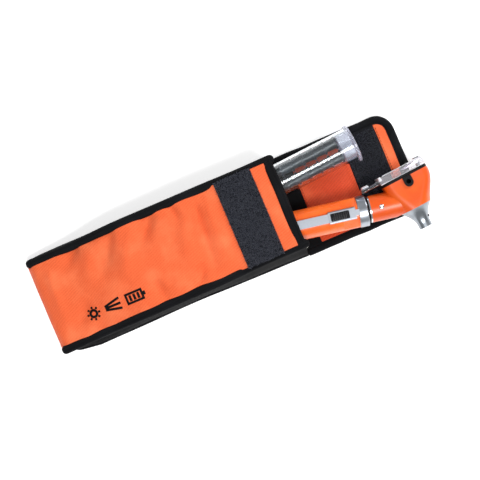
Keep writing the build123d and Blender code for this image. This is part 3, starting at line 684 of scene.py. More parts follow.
HOOK_FIBRE = Cloth("hook_fibre", "181a22", "060608", "7c8296", Weave.PILE, 1.0 * MM, 0.0, 0.6, 0.05, 0.8, 0.4)
THREAD = Cloth("pale_thread", "c9c6bd", "8d8a82", "e4e2da", Weave.RIB, 0.3 * MM, 0.03 * MM, 0.7, 0.2)
ORANGE_GRIP = Moulded("orange_grip", "f4621a", "fa7a30", 0.3, coat=0.25)
ORANGE_HEAD = Moulded("orange_head", "cf4b0a", "da5c12", 0.34, relief=0.014 * MM)
BLACK_PLASTIC = Moulded("black_plastic", "0a0b0d", "121316", 0.4, gloss=0.15)
BLACK_RUBBER = Moulded("black_rubber", "0e0f11", "1a1b1f", 0.62, 0.3 * MM, 0.02 * MM, gloss=0.15)
RIB_RUBBER = Moulded("pad_rib_rubber", "1c1d20", "2a2c30", 0.35, 0.3 * MM, 0.01 * MM)
SILVER = Metal("silver_satin", "a9aeb6", "7f858e", 0.36, (0.2, 1.0, 1.0))
TURNED = Metal("silver_turned", "adb3bb", "878d96", 0.34, (1.0, 0.15, 0.15))
TURNED_CONE = Metal("silver_cone", "9aa0a6", "767c83", 0.3, (0.2, 1.0, 0.2))
CHROME = Metal("chrome", "dfe2e6", "b4b8be", 0.14)
BRASS = Metal("brass", "caa254", "94702e", 0.3)
CLEAR = Clear("clear_plastic", "f2f6f8")
LENS = Clear("lens_clear", "f0eef2", 0.02, 0.14)
FROST = Clear("frosted_plastic", "eceef2", 0.3, 0.45)
SMOKE = Clear("smoky_plastic", "8d9196", 0.1, 0.1)
PRINT = Moulded("print_ink", "08080a", "101012", 0.6, gloss=0.1)
MILKY = Clear("milky_plastic", "dcdde8", 0.16, 0.12)
GREY_SPECULA = Moulded("specula_grey", "1d2024", "34383d", 0.42)
CELL_SLEEVE = Moulded("cell_sleeve", "2b4d8c", "39629f", 0.3, coat=0.4)
BOARD = Moulded("board_green", "1c5a34", "2a7346", 0.45)

NODE_FINISHES: dict[str, Finish] = {
    "orange_fabric": ORANGE_TWILL, "black_fabric": TAPE, "loop_pile": LOOP_PILE,
    "hook_pile": HOOK_PILE, "lining": LINING, "orange_plastic": ORANGE_HEAD,
    "black_plastic": BLACK_PLASTIC, "black_rubber": BLACK_RUBBER, "silver": SILVER,
    "chrome": CHROME, "brass": BRASS, "clear_plastic": CLEAR, "lens_glass": LENS,
    "milky_plastic": MILKY, "specula_plastic": GREY_SPECULA, "cell_sleeve": CELL_SLEEVE,
    "board_green": BOARD,
}


# ---------------------------------------------------------------- making pieces
@dataclass
class Piece:
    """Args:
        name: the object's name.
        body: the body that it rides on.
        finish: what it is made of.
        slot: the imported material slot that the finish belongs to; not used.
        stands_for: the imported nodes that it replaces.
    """

    name: str
    body: str
    finish: Finish
    slot: str
    stands_for: tuple[str, ...] = ()

    def make(self, patch: Patch) -> bpy.types.Object:
        """Turns a patch into the piece: merged seams and poles, smooth shading, its UV map.


        Returns:
            The object, at the origin.
        """
        mesh = bpy.data.meshes.new(self.name)
        mesh.vertices.add(len(patch.points))
        mesh.vertices.foreach_set("co", patch.points.astype(np.float32).ravel())
        mesh.loops.add(patch.quads.size)
        mesh.loops.foreach_set("vertex_index", patch.quads.astype(np.int32).ravel())
        mesh.polygons.add(len(patch.quads))
        mesh.polygons.foreach_set("loop_start", np.arange(0, patch.quads.size, 4, dtype=np.int32))
        mesh.uv_layers.new(name="UVMap").uv.foreach_set("vector", patch.uv.astype(np.float32).ravel())
        mesh.update(calc_edges=True)
        shell = bmesh.new()
        shell.from_mesh(mesh)
        bmesh.ops.remove_doubles(shell, verts=shell.verts, dist=1e-6)
        bmesh.ops.dissolve_degenerate(shell, edges=shell.edges, dist=1e-7)
        shell.to_mesh(mesh)
        shell.free()
        mesh.shade_smooth()
        thing = bpy.data.objects.new(self.name, mesh)
        bpy.context.scene.collection.objects.link(thing)
        mesh.materials.append(self.finish.material())
        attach(thing, self.body)
        if self.stands_for:
            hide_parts(*self.stands_for)
        LOG.info("%s: %d faces on %s", self.name, len(mesh.polygons), self.body)
        return thing


def sharpened(thing: bpy.types.Object, angle: float = 35.0) -> None:
    """Keeps edges sharper than the angle, in degrees, crisp in the shading."""
    mesh = thing.data
    shell = bmesh.new()
    shell.from_mesh(mesh)
    for edge in shell.edges:
        edge.smooth = edge.calc_face_angle(0.0) < math.radians(angle)
    shell.to_mesh(mesh)
    shell.free()


# ---------------------------------------------------------------- cloth shapes
def normals(points: np.ndarray) -> np.ndarray:
    """Normals of a grid of points: the slope along u crossed with the slope along v."""
    return unit(np.cross(np.gradient(points, axis=0), np.gradient(points, axis=1)))


def sheet_shell(outer: np.ndarray, thickness: float) -> Patch:
    """A closed thin shell under a grid of points.

    Formula: the inner face is the outer one moved back along its normals by the thickness,
    and each end row closes half way between the two.

    Args:
        outer: nu by nv by 3, its normals outwards.
        thickness: in metres.

    Returns:
        The closed patch, with running lengths as its UV map.
    """
    inner = outer - normals(outer) * thickness
    middle = (outer + inner) / 2
    length = Patch.lengths(outer)
    loop = np.concatenate([outer, inner[:, ::-1]], axis=1)
    flat = np.concatenate([middle, middle[:, ::-1]], axis=1)
    points = np.concatenate([flat[:1], loop, flat[-1:]])
    uv = np.concatenate([length, length[:, ::-1] + [0, thickness]], axis=1)
    uv = np.concatenate([uv[:1] - [thickness / 2, 0], uv, uv[-1:] + [thickness / 2, 0]])
    return Patch.grid(points, uv, loop_v=True)


FOLD_GAIN = 1.35


def creases(x: np.ndarray, y: np.ndarray, folds: list[tuple[float, ...]]) -> np.ndarray:
    """Height of a field of folds.

    Formula: each fold is FOLD_GAIN * depth * exp(-(d / spread)^2) about a segment, d the
    distance to it. The spread grows from 0.7 to 1 width along it. The height rises until a
    quarter of the way and falls to 0.4 over the second half.

    Args:
        x, y: where the height is wanted, in metres.
        folds: x0, y0, x1, y1, width and depth of each, in millimetres.

    Returns:
        The sum of all, in metres.
    """
    total = np.zeros(np.shape(x))
    for x0, y0, x1, y1, width, depth in folds:
        start, run = np.array([x0, y0]) * MM, np.array([x1 - x0, y1 - y0]) * MM
        share = ((x - start[0]) * run[0] + (y - start[1]) * run[1]) / (run @ run)
        held = np.clip(share, 0, 1)
        gap = np.hypot(x - start[0] - held * run[0], y - start[1] - held * run[1])
        spread = width * MM * (0.7 + 0.3 * held)
        fade = smooth_step(share, -0.35, 0.25) * (1 - 0.6 * smooth_step(share, 0.5, 1.1))
        total += FOLD_GAIN * depth * MM * np.exp(-(gap / spread) ** 2) * fade
    return total


def tape_section(width: float, height: float, seam: float = 0.62) -> np.ndarray:
    """Section of a folded tape, anticlockwise, with a stitched hollow along its top.

    Formula: the top is height * (1 - |2a / width|^5) less a Gaussian dip at the seam's share
    of the width; the underside is flat with rounded corners.

    Args:
        width, height: of the tape.
        seam: where the hollow lies, as a share of the width.

    Returns:
        m by 2 points about the middle of the width, the underside at 0.
    """
    across = np.cos(np.linspace(0, math.pi, 23)) * width / 2
    hump = (1 - np.abs(2 * across / width) ** 5) ** 0.6
    dip = 0.16 * np.exp(-(((across / width + 0.5) - seam) / 0.055) ** 2)
    top = height * (hump * 0.85 + 0.15 - dip)
    low = np.linspace(-1, 1, 9)[1:-1] * width / 2
    return np.concatenate([np.stack([across, top], 1), np.stack([low, np.zeros(len(low))], 1)])


def stitches(line: np.ndarray, up: np.ndarray, pitch: float, thick: float) -> Patch:
    """A row of short stitches laid along a line.

    Formula: each is a six-sided spindle two thirds of the pitch long, its ends sunk.

    Args:
        line: n by 3, where the row runs.
        up: direction away from the cloth.
        pitch: from stitch to stitch.
        thick: thread diameter.

    Returns:
        One patch.
    """
    spots = evened(line, pitch)
    along = unit(np.diff(spots, axis=0))
    middle = (spots[1:] + spots[:-1]) / 2
    top = unit(np.broadcast_to(up, along.shape) - along * (along @ up)[:, None])
    side = np.cross(top, along)
    profile = [(-0.36, 0.0), (-0.33, 0.42), (-0.2, 0.5), (0.2, 0.5), (0.33, 0.42), (0.36, 0.0)]
    shape = [(a * pitch, r * thick) for a, r in profile]
    bead = lathe(shape, KIT, 6)
    bead.points[:, 2] -= (bead.points[:, 0] / (0.36 * pitch)) ** 2 * thick * 0.5
    return bead.repeated(middle, np.stack([along, side, top], axis=1))


def pile(surface: np.ndarray, count: int, height: float, thick: float, hooked: float, seed: int) -> Patch:
    """Thousands of short bent fibres standing on a grid of points.

    Formula: a fibre is a three-sided tube along (lean * t + hook * sin(pi t), 0, height *
    sin(turn * t)), t from 0 to 1, turned about the normal by a seeded random angle.

    Args:
        surface: the grid that they stand on.
        count: how many.
        height: of a fibre.
        thick: its diameter.
        hooked: 0 for straight, 1 for a full loop.
        seed: of the random numbers.

    Returns:
        One patch.
    """
    dice = np.random.default_rng(seed)
    nu, nv = surface.shape[:2]
    u, v = dice.uniform(0, nu - 1.001, count), dice.uniform(0, nv - 1.001, count)
    iu, iv = u.astype(int), v.astype(int)
    fu, fv = (u - iu)[:, None], (v - iv)[:, None]
    foot = (surface[iu, iv] * (1 - fu) + surface[iu + 1, iv] * fu) * (1 - fv) + (
        surface[iu, iv + 1] * (1 - fu) + surface[iu + 1, iv + 1] * fu) * fv
    up = unit(normals(surface)[iu, iv] + dice.normal(0, 0.25, (count, 3)))
    turn = dice.uniform(0, 2 * math.pi, count)
    side = unit(np.cross(up, np.stack([np.cos(turn), np.sin(turn), 0 * turn], 1)))
    size = dice.uniform(0.65, 1.15, (count, 1, 1))
    t = np.linspace(0, 1, 4)
    bend = math.pi / 2 * (1 + hooked)
    spine = np.stack([height * 0.7 * t + 0.3 * height * np.sin(math.pi * t), 0 * t, height * np.sin(bend * t)], 1)
    ring = np.array([[0, math.cos(a), math.sin(a)] for a in (0.0, 2.1, 4.2)]) * thick / 2
    points = spine[:, None] + ring[None] * np.array([1.0, 1.0, 0.9, 0.35])[:, None, None]
    fibre = Patch.grid(points, loop_v=True).flipped()
    return fibre.repeated(foot, np.stack([side, np.cross(up, side), up], axis=1) * size)


# ---------------------------------------------------------------- pouch
@dataclass
class Pouch:
    """The pocket: padded back, creased front, gussets, taped edges and the loop strip.

    Args:
        fabric: thickness of the front.
        crown: how far the front dips towards its edges.
        tape: width and height of the front's edge tape.
        rear_tape: width and height of the back's edge tape.
        wander: how far the tapes wander sideways.
        folds: the front's creases, as creases() takes them.
    """

    fabric: float = 1.6 * MM
    crown: float = 1.5 * MM
    tape: tuple[float, float] = (5.7 * MM, 3.4 * MM)
    rear_tape: tuple[float, float] = (4.6 * MM, 5.0 * MM)
    wander: float = 0.45 * MM
    folds: list[tuple[float, ...]] = field(default_factory=lambda: [
        (-90, 28, -101, 20, 4.5, -1.5), (-66, 28, -79, 8, 5.5, -1.9), (-39, 28, -52, 14, 6.0, -2.8),
        (-25.5, 28, -23, 17, 3.6, -1.6), (-11, 21, -14.5, -17, 4.6, -2.6), (-20, -13, -29, -24, 4.5, -2.0),
        (-51, -11, -50, -22, 4.0, -1.7), (-97, -9, -110, -18, 5.0, -1.5), (-21, 16, -26, -8, 6.5, 1.5),
        (-54, 22, -67, 2, 5.0, 1.0), (-83, 22, -92, 4, 6.0, 0.9), (-36, -14, -40, -22, 5.0, 0.8),
        (-3, 24, -4, -20, 3.5, 0.7), (-112, 20, -114, -12, 4.0, 0.8), (-72, -4, -90, -12, 7.0, 0.6),
    ])

    def __post_init__(self) -> None:
        """Reads the pocket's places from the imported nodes."""
        front, back = np.array(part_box("pocket_front")) , np.array(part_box("back_panel"))
        self.closed, self.mouth = front[0][0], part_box("mouth_binding")[1][0]
        self.top, self.back = front[1][2], back
        self.mouth_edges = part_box("mouth_binding")[0][1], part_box("mouth_binding")[1][1]
        self.closed_edges = front[0][1], front[1][1]
        self.handle_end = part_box("end_cap")[0][0]

    def edges(self, x: np.ndarray) -> tuple[np.ndarray, np.ndarray]:
        """Lower and upper edge of the front at x, straight from the closed end to the mouth."""
        share = np.clip((x - self.closed) / (self.mouth - self.closed), 0, 1)
        low = self.closed_edges[0] + share * (self.mouth_edges[0] - self.closed_edges[0])
        high = 27.8 * MM + share * (self.mouth_edges[1] - 27.8 * MM)
        return low, high

    def line(self, count: int = 190) -> np.ndarray:
        """The front's outer line from the mouth over the handle's end and round the closed end."""
        top, end = self.top, self.handle_end
        corners = np.array([
            (self.mouth - 5.0 * MM, top), (end + 31 * MM, top), (end - 11 * MM, 27.2 * MM),
            (-93.3 * MM, 16.6 * MM), (self.closed + 10 * MM, 12.2 * MM), (self.closed + 2.6 * MM, 10.2 * MM),
            (self.closed + 0.1 * MM, 5.6 * MM), (self.closed, 0.3 * MM),
        ])
        path = evened(eased(evened(corners, 1.0 * MM), 14), 1.0 * MM)
        return evened(path, np.linalg.norm(np.diff(path, axis=0), axis=1).sum() / count)

    def height(self, x: np.ndarray) -> np.ndarray:
        """Height of the front's line at x, where the line runs along the top."""
        line = self.line()[::-1]
        keep = line[:, 1] > 6 * MM
        return np.interp(x, line[keep, 0], line[keep, 1])

    def front(self) -> None:
        """Front sheet: its line and edges, crowned, creased and puckered along the tapes."""
        line = self.line()
        across = np.linspace(0, 1, 84)
        low, high = self.edges(line[:, 0])
        low, high = low - 1.5 * MM, high + 1.5 * MM
        points = np.empty((len(line), len(across), 3))
        points[..., 0] = line[:, :1]
        points[..., 1] = low[:, None] + (high - low)[:, None] * across
        points[..., 2] = line[:, 1:]
        x, y = points[..., 0], points[..., 1]
        mid = np.abs(2 * across - 1)
        rise = creases(x, y, self.folds) - self.crown * mid ** 4
        rise = rise + 0.25 * MM * np.sin(x / (4.7 * MM) + 2.2 * np.sin(x / (15 * MM))) * mid ** 6
        rise = rise + 0.18 * MM * np.sin(x / (6.1 * MM) - y / (8 * MM)) * np.sin(y / (5.3 * MM) + x / (11 * MM))
        flat_part = smooth_step(x, -2 * MM, 5 * MM)
        rise = rise * (1 - 0.75 * flat_part) * smooth_step(line[:, 1:] * np.ones_like(x), 1 * MM, 8 * MM)
        points += -normals(points) * rise[..., None]
        outer = points[:, ::-1]
        made = Piece("pocket_cloth", "pouch", ORANGE_TWILL, "orange_fabric", ("pocket_front",))
        thing = made.make(sheet_shell(outer, self.fabric))
        float((high - low).mean()) * 1.01
        self.skin = outer

    def back_panel(self) -> None:
        """Padded back: a slab whose top swells between its edges."""
        low, high = self.back
        outline = rounded_outline(low[0], high[0] + 0.2 * MM, low[1], high[1], (1.5 * MM,) * 4)
        rings = [(0.0, 0.9 * MM), (0.1 * MM, 1.8 * MM), (0.6 * MM, 2.7 * MM), (2.0 * MM, 3.3 * MM),
                 (5.0 * MM, 3.8 * MM), (10 * MM, 4.0 * MM), (18 * MM, 4.0 * MM)]
        thing = Piece("back_panel_pad", "pouch", SMOOTH_TAPE, "black_fabric", ("back_panel",)).make(
            disc(outline, rings, 0.0))

    def wandered(self, x: np.ndarray, phase: float) -> np.ndarray:
        """Sideways wander of a tape: two sines of different length."""
        return self.wander * (np.sin(x / (9.1 * MM) + phase) * 0.6 + np.sin(x / (17 * MM) + 2.1 * phase))

    def side_tapes(self) -> None:
        """Edge tapes of the front and the back, and the gussets between them."""
        x = np.linspace(self.closed + 3.4 * MM, self.mouth - 0.6 * MM, 150)
        section = tape_section(*self.tape)
        rear = tape_section(*self.rear_tape, seam=0.5)
        low, high = self.edges(x)
        tall = self.height(x)
        outer_x = np.array([-125, -117, -113, -100, -75, -50, -25, 0, 20, 46]) * MM
        shapes = {
            "lower": (low, -1, np.array([29.5, 30.4, 32.4, 34.2, 33.9, 33.4, 33.2, 33.2, 33.6, 34.0]) * MM),
            "upper": (high, 1, np.array([32.5, 33.6, 33.8, 34.0, 33.6, 33.2, 33.4, 34.0, 34.1, 34.1]) * MM),
        }
        rears = []
        for word, (edge, out, outline) in shapes.items():
            y = edge + out * (self.tape[0] / 2 - 0.5 * MM) + 0.4 * self.wandered(x, 1.0 + out)
            sag = 0.5 * MM * np.sin(x / (13 * MM) + out)
            droop = 1.5 * MM * smooth_step(x, self.mouth - 4 * MM, self.mouth + 2 * MM)
            z = tall - self.tape[1] + sag * 0.6 - droop - self.crown * 0.5
            path = np.stack([x, y, z], 1)
            profile = section * [-out, 1]
            profile = profile if out < 0 else profile[::-1]
            patch = swept(path, profile, UP, ends=2.2 * MM)
            Piece(f"front_tape_{word}", "pouch", TAPE, "black_fabric", (f"front_binding_{word}",)).make(patch)
            rear_y = out * (np.interp(x, outer_x, outline) - self.rear_tape[0] / 2)
            base = np.stack([x, rear_y + 0.4 * self.wandered(x, 4.0 - out), 0.02 * MM + 0 * x], 1)
            rears.append(swept(base, rear, UP, ends=2.0 * MM))
            self.gusset(word, out, x, y, z, base[:, 1])
        Piece("rear_tape", "pouch", TAPE, "black_fabric", ("rear_binding",)).make(Patch.joined(rears))

    def gusset(self, word: str, out: int, x: np.ndarray, y: np.ndarray, z: np.ndarray, foot: np.ndarray) -> None:
        """A side wall from the front's tape down to the back's, bulging and rumpled.

        Formula: between its two edges the wall follows 3t^2 - 2t^3 sideways, plus a sine bulge
        and ripples that slant with x.

        Args:
            word: lower or upper.
            out: -1 or 1, the outward side.
            x, y, z: the upper edge.
            foot: y of the lower edge.
        """
        t = np.linspace(0, 1, 26)[None]
        top = y + out * 0.8 * MM
        base = foot - out * 0.3 * MM
        bulge = 0.7 * MM * np.sin(math.pi * t) * np.ones_like(x)[:, None]
        ripple = 0.35 * MM * np.sin(x[:, None] / (7 * MM) + 3 * t + out) * np.sin(math.pi * t)
        wall = np.empty((len(x), t.shape[1], 3))
        wall[..., 0] = x[:, None]
        ease = t * t * (3 - 2 * t)
        wall[..., 1] = top[:, None] + (base - top)[:, None] * ease + out * (bulge + ripple)
        wall[..., 2] = (z + 1.2 * MM)[:, None] * (1 - t) + 3.2 * MM * t
        wall = wall if out < 0 else wall[:, ::-1]
        thing = Piece(f"gusset_{word}", "pouch", SMOOTH_TAPE, "black_fabric", (f"side_gusset_{word}",)).make(
            sheet_shell(wall, 1.2 * MM))

    def mouth_tape(self) -> None:
        """Tape over the mouth's edge, between the side tapes."""
        low, high = self.mouth_edges
        y = np.linspace(low - 1.0 * MM, high + 0.6 * MM, 70)
        box_low, box_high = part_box("mouth_binding")
        middle = (box_low[0] + box_high[0]) / 2
        share = (y - low) / (high - low)
        path = np.stack([
            middle + 0.3 * MM * np.sin(y / (8 * MM)), y,
            box_low[2] + 0.25 * MM * np.sin(y / (11 * MM)) - 1.2 * MM * np.abs(2 * share - 1) ** 5,
        ], 1)
        section = tape_section(6.4 * MM, 2.8 * MM, 0.66)
        Piece("mouth_tape", "pouch", TAPE, "black_fabric", ("mouth_binding",)).make(
            swept(path, section, UP, ends=1.2 * MM))

    def loops(self) -> None:
        """Loop strip on the front: a thin base and a nap of bent fibres."""
        box_low, box_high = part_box("loop_strip")
        x = np.linspace(box_low[0], box_high[0], 40)
        low, high = self.edges(x)
        t = np.linspace(0, 1, 80)
        grid = np.empty((40, 80, 3))
        grid[..., 0] = x[:, None]
        grid[..., 1] = (low - 2.4 * MM)[:, None] + (high - low + 4.8 * MM)[:, None] * t
        wave = creases(grid[..., 0], grid[..., 1], self.folds) * 0.25 - self.crown * 0.25 * np.abs(2 * t - 1) ** 4
        grid[..., 2] = box_low[2] + 0.65 * MM + wave + 0.12 * MM * np.sin(grid[..., 1] / (2.3 * MM))
        base = sheet_shell(grid, 0.9 * MM)
        thing = Piece("loop_base", "pouch", LOOP_PILE, "loop_pile", ("loop_strip",)).make(base)
        Piece("loop_nap", "pouch", LOOP_FIBRE, "loop_pile").make(
            pile(grid - [0, 0, 0.05 * MM], 9000, 0.95 * MM, 0.2 * MM, 0.9, 11))
        LOG.info("loop strip: %s", thing.name)

    def sewing(self) -> None:
        """Stitch rows beside the mouth, along the loop strip, and one loose thread end."""
        rows = []
        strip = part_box("loop_strip")
        for x0 in (strip[0][0] + 1.2 * MM, strip[1][0] - 1.2 * MM):
            low, high = self.edges(np.array([x0]))
            y = np.linspace(low[0] + 1.5 * MM, high[0] - 1.5 * MM, 60)
            rows.append(stitches(np.stack([x0 + 0 * y, y, strip[0][2] + 0.75 * MM + 0 * y], 1), UP,
                                 2.2 * MM, 0.34 * MM))
        Piece("strip_stitches", "pouch", SMOOTH_TAPE, "black_fabric").make(Patch.joined(rows))
        y = np.linspace(self.mouth_edges[0] + 2 * MM, self.mouth_edges[1] - 2 * MM, 60)
        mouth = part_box("mouth_binding")
        line = np.stack([
            mouth[0][0] + 1.0 * MM + 0 * y, y, mouth[1][2] - 0.15 * MM + 0.2 * MM * np.sin(y / (11 * MM)),
        ], 1)
        Piece("mouth_stitches", "pouch", TAPE, "black_fabric").make(stitches(line, UP, 2.2 * MM, 0.3 * MM))
        t = np.linspace(0, 1, 24)
        tail = np.stack([
            self.mouth - 0.5 * MM + 1.6 * MM * np.sin(3.0 * t), -25.5 * MM - 2.6 * MM * t,
            26.8 * MM + 1.2 * MM * np.sin(4 * t) - 1.0 * MM * t,
        ], 1)
        ring = rounded_bar(0.34 * MM, 0.34 * MM, 0.12 * MM, 2)
        Piece("thread_tail", "pouch", THREAD, "black_fabric").make(swept(tail, ring, UP, ends=0.1 * MM))

    def printed(self, grid: np.ndarray) -> Patch:
        """Ink on the front: a flat grid of (x, y) laid on the skin.

        Formula: each point takes the height of the tangent plane at the nearest point of the
        skin, and stands 0.12 mm off it.
        """
        skin, up = self.skin.reshape(-1, 3), -normals(self.skin).reshape(-1, 3)
        up = up * np.sign(up[:, 2:])
        flat = grid.reshape(-1, 2)
        near = np.argmin(((skin[None, :, :2] - flat[:, None]) ** 2).sum(axis=2), axis=1)
        base, lean = skin[near], up[near]
        rise = base[:, 2] - ((flat - base[:, :2]) * lean[:, :2]).sum(axis=1) / lean[:, 2]
        points = np.concatenate([flat, rise[:, None]], axis=1) + lean * 0.12 * MM
        return sheet_shell(points.reshape(*grid.shape[:2], 3), 0.06 * MM)

    def bar(self, x0: float, y0: float, x1: float, y1: float, width: float) -> Patch:
        """A printed bar between two points, in millimetres."""
        start, run = np.array([x0, y0]), np.array([x1 - x0, y1 - y0])
        side = np.array([-run[1], run[0]]) / np.hypot(*run) * width / 2
        t = np.linspace(0, 1, 9)[:, None, None]
        across = np.array([-1.0, 0.0, 1.0])[None, :, None]
        return self.printed((start + run * t + side * across) * MM)

    def symbols(self) -> None:
        """Three plain symbols for what is inside: a shining lamp, a beam of light and a cell."""
        parts = []
        x, y = -95.2, -14.2
        angle = np.linspace(0, 2 * math.pi, 41)
        ring = np.stack([np.cos(angle), np.sin(angle)], 1)[:, None] * np.array([2.9, 2.1, 1.3])[None, :, None]
        parts.append(self.printed((ring + [x, y]) * MM))
        for turn in np.radians(np.arange(0, 360, 45)):
            c, s = math.cos(turn), math.sin(turn)
            parts.append(self.bar(x + 3.1 * c, y + 3.1 * s, x + 4.5 * c, y + 4.5 * s, 1.3))
        parts += [self.bar(-87.0, y + k, -76.5, y + 3.1 * k, 1.5) for k in (-1.1, 0.0, 1.1)]
        parts += [self.bar(-72.5, y + k * 2.9, -61.4, y + k * 2.9, 1.4) for k in (-1, 1)]
        parts += [self.bar(k, y - 3.6, k, y + 3.6, 1.4) for k in (-72.0, -61.6)]
        parts += [self.bar(-60.4, y - 1.2, -60.4, y + 1.2, 1.8)]
        parts += [self.bar(k, y - 1.9, k, y + 1.9, 1.6) for k in (-69.5, -66.8, -64.1)]
        Piece("front_symbols", "pouch", PRINT, "black_plastic").make(Patch.joined(parts))

    def make(self) -> None:
        """Builds the pocket."""
        self.back_panel()
        self.front()
        self.side_tapes()
        self.mouth_tape()
        self.loops()
        self.sewing()
        self.symbols()


# ---------------------------------------------------------------- flap
@dataclass
class Flap:
    """The open flap: padded panel, taped edge, and the strips sewn on its inner face.

    Args:
        tape: width and height of the edge tape.
        lining_folds: creases of the lining strip, as creases() takes them.
    """

    tape: tuple[float, float] = (6.6 * MM, 4.7 * MM)
    lining_folds: list[tuple[float, ...]] = field(default_factory=lambda: [
        (57, 26, 62, 8, 2.2, -0.25), (70, 12, 84, -6, 3.0, 0.3), (60, -20, 80, -26, 2.5, -0.25),
        (66, 26, 74, -28, 2.0, 0.18), (84, 20, 88, -20, 2.0, -0.2),
    ])

    def __post_init__(self) -> None:
        """Reads the flap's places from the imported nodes."""
        self.low, self.high = (np.array(corner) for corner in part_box("flap_binding"))
        self.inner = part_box("flap_panel")
        self.face = self.inner[1][2]
        self.corner = 12.0 * MM - 6.0 * MM

    def edges(self, x: np.ndarray) -> tuple[np.ndarray, np.ndarray]:
        """Lower and upper limit of the panel at x: straight, then the corner's quarter circle."""
        into = np.clip(x - (self.inner[1][0] - self.corner), 0, self.corner * 0.999)
        cut = self.corner - np.sqrt(self.corner ** 2 - into ** 2)
        return self.inner[0][1] + cut, self.inner[1][1] - cut

    def panel(self) -> None:
        """Padded panel under the strips."""
        low, high = np.array(self.inner[0]), np.array(self.inner[1])
        r = self.corner
        outline = rounded_outline(low[0], high[0] + 1 * MM, low[1] - 1 * MM, high[1] + 1 * MM,
                                  (0.5 * MM, r + 1 * MM, r + 1 * MM, 0.5 * MM))
        rings = [(0.0, 0.6 * MM), (0.2 * MM, 2.4 * MM), (1.0 * MM, 3.2 * MM), (3.0 * MM, 3.7 * MM),
                 (6 * MM, 3.9 * MM), (12 * MM, 3.95 * MM)]
        thing = Piece("flap_pad", "flap", SMOOTH_TAPE, "black_fabric", ("flap_panel",)).make(
            disc(outline, rings, 0.0))

    def strip(self, name: str, node: str, finish: Finish, slot: str, lift: float, wave: float,
              folds: tuple[tuple[float, ...], ...] | list = (), trims: tuple[str, ...] | None = ()) -> np.ndarray:
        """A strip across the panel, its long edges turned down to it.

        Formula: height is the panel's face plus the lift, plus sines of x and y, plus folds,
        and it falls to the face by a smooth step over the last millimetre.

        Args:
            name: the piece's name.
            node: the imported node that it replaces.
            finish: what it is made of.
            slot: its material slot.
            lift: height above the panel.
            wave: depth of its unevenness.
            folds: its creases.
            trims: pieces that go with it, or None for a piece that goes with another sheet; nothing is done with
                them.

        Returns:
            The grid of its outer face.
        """
        box_low, box_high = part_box(node)
        x = np.linspace(box_low[0] - 0.3 * MM, min(box_high[0] + 0.3 * MM, self.inner[1][0] - 0.05 * MM), 56)
        low, high = self.edges(x)
        t = np.linspace(0, 1, 90)
        grid = np.empty((len(x), len(t), 3))
        grid[..., 0] = x[:, None]
        grid[..., 1] = (low - 0.6 * MM)[:, None] + (high - low + 1.2 * MM)[:, None] * t
        gx, gy = grid[..., 0], grid[..., 1]
        uneven = np.sin(gx / (3.7 * MM) + gy / (6 * MM)) * np.sin(gy / (7.9 * MM) + 1.0)
        grid[..., 0] += 0.25 * MM * np.sin(gy / (9 * MM)) * np.abs(np.linspace(-1, 1, len(x)))[:, None]
        grid[..., 2] = self.face + lift + wave * uneven + creases(gx, gy, folds)
        side = np.minimum(x - x[0], x[-1] - x)[:, None]
        grid[..., 2] -= lift * (1 - smooth_step(side * np.ones_like(gx), 0, 1.0 * MM)) * 0.9
        thing = Piece(name, "flap", finish, slot, (node,)).make(sheet_shell(grid, 0.55 * MM))
        if trims is not None:
            float((high - low).mean()) + 1.2 * MM
        return grid

    def edge_tape(self) -> None:
        """Tape round the flap's three free sides, its sewn inner lip lower than its fold."""
        inset = self.tape[0] / 2
        low, high = self.low, self.high
        r = 12.0 * MM - inset
        arc = np.linspace(0, math.pi / 2, 16)
        x1, y0, y1 = high[0] - inset, low[1] + inset, high[1] - inset
        corner_low = np.stack([x1 - r + r * np.sin(arc), y0 + r - r * np.cos(arc)], 1)
        corner_high = np.stack([x1 - r + r * np.cos(arc), y1 - r + r * np.sin(arc)], 1)
        path = np.concatenate([[[low[0] + 0.6 * MM, y0]], corner_low, corner_high, [[low[0] + 0.6 * MM, y1]]])
        path = evened(path, 1.1 * MM)
        along = np.linspace(0, 1, len(path))
        sway = 0.1 * MM * np.sin(along * 41) + 0.08 * MM * np.sin(along * 67 + 1)
        way = unit(np.gradient(path, axis=0))
        path = path + np.stack([way[:, 1], -way[:, 0]], 1) * sway[:, None]
        line = np.concatenate([path, 0.02 * MM + np.zeros((len(path), 1))], axis=1)
        section = tape_section(*self.tape, seam=0.68)[::-1] * [-1, 1]
        Piece("flap_tape", "flap", TAPE, "black_fabric", ("flap_binding",)).make(
            swept(line, section, UP, ends=0.8 * MM))
        inward = np.stack([-way[:, 1], way[:, 0]], 1) * 1.2 * MM
        row = np.concatenate([path + inward, np.full((len(path), 1), self.tape[1] * 0.93)], axis=1)
        Piece("flap_stitches", "flap", SMOOTH_TAPE, "black_fabric").make(stitches(row, UP, 2.4 * MM, 0.3 * MM))

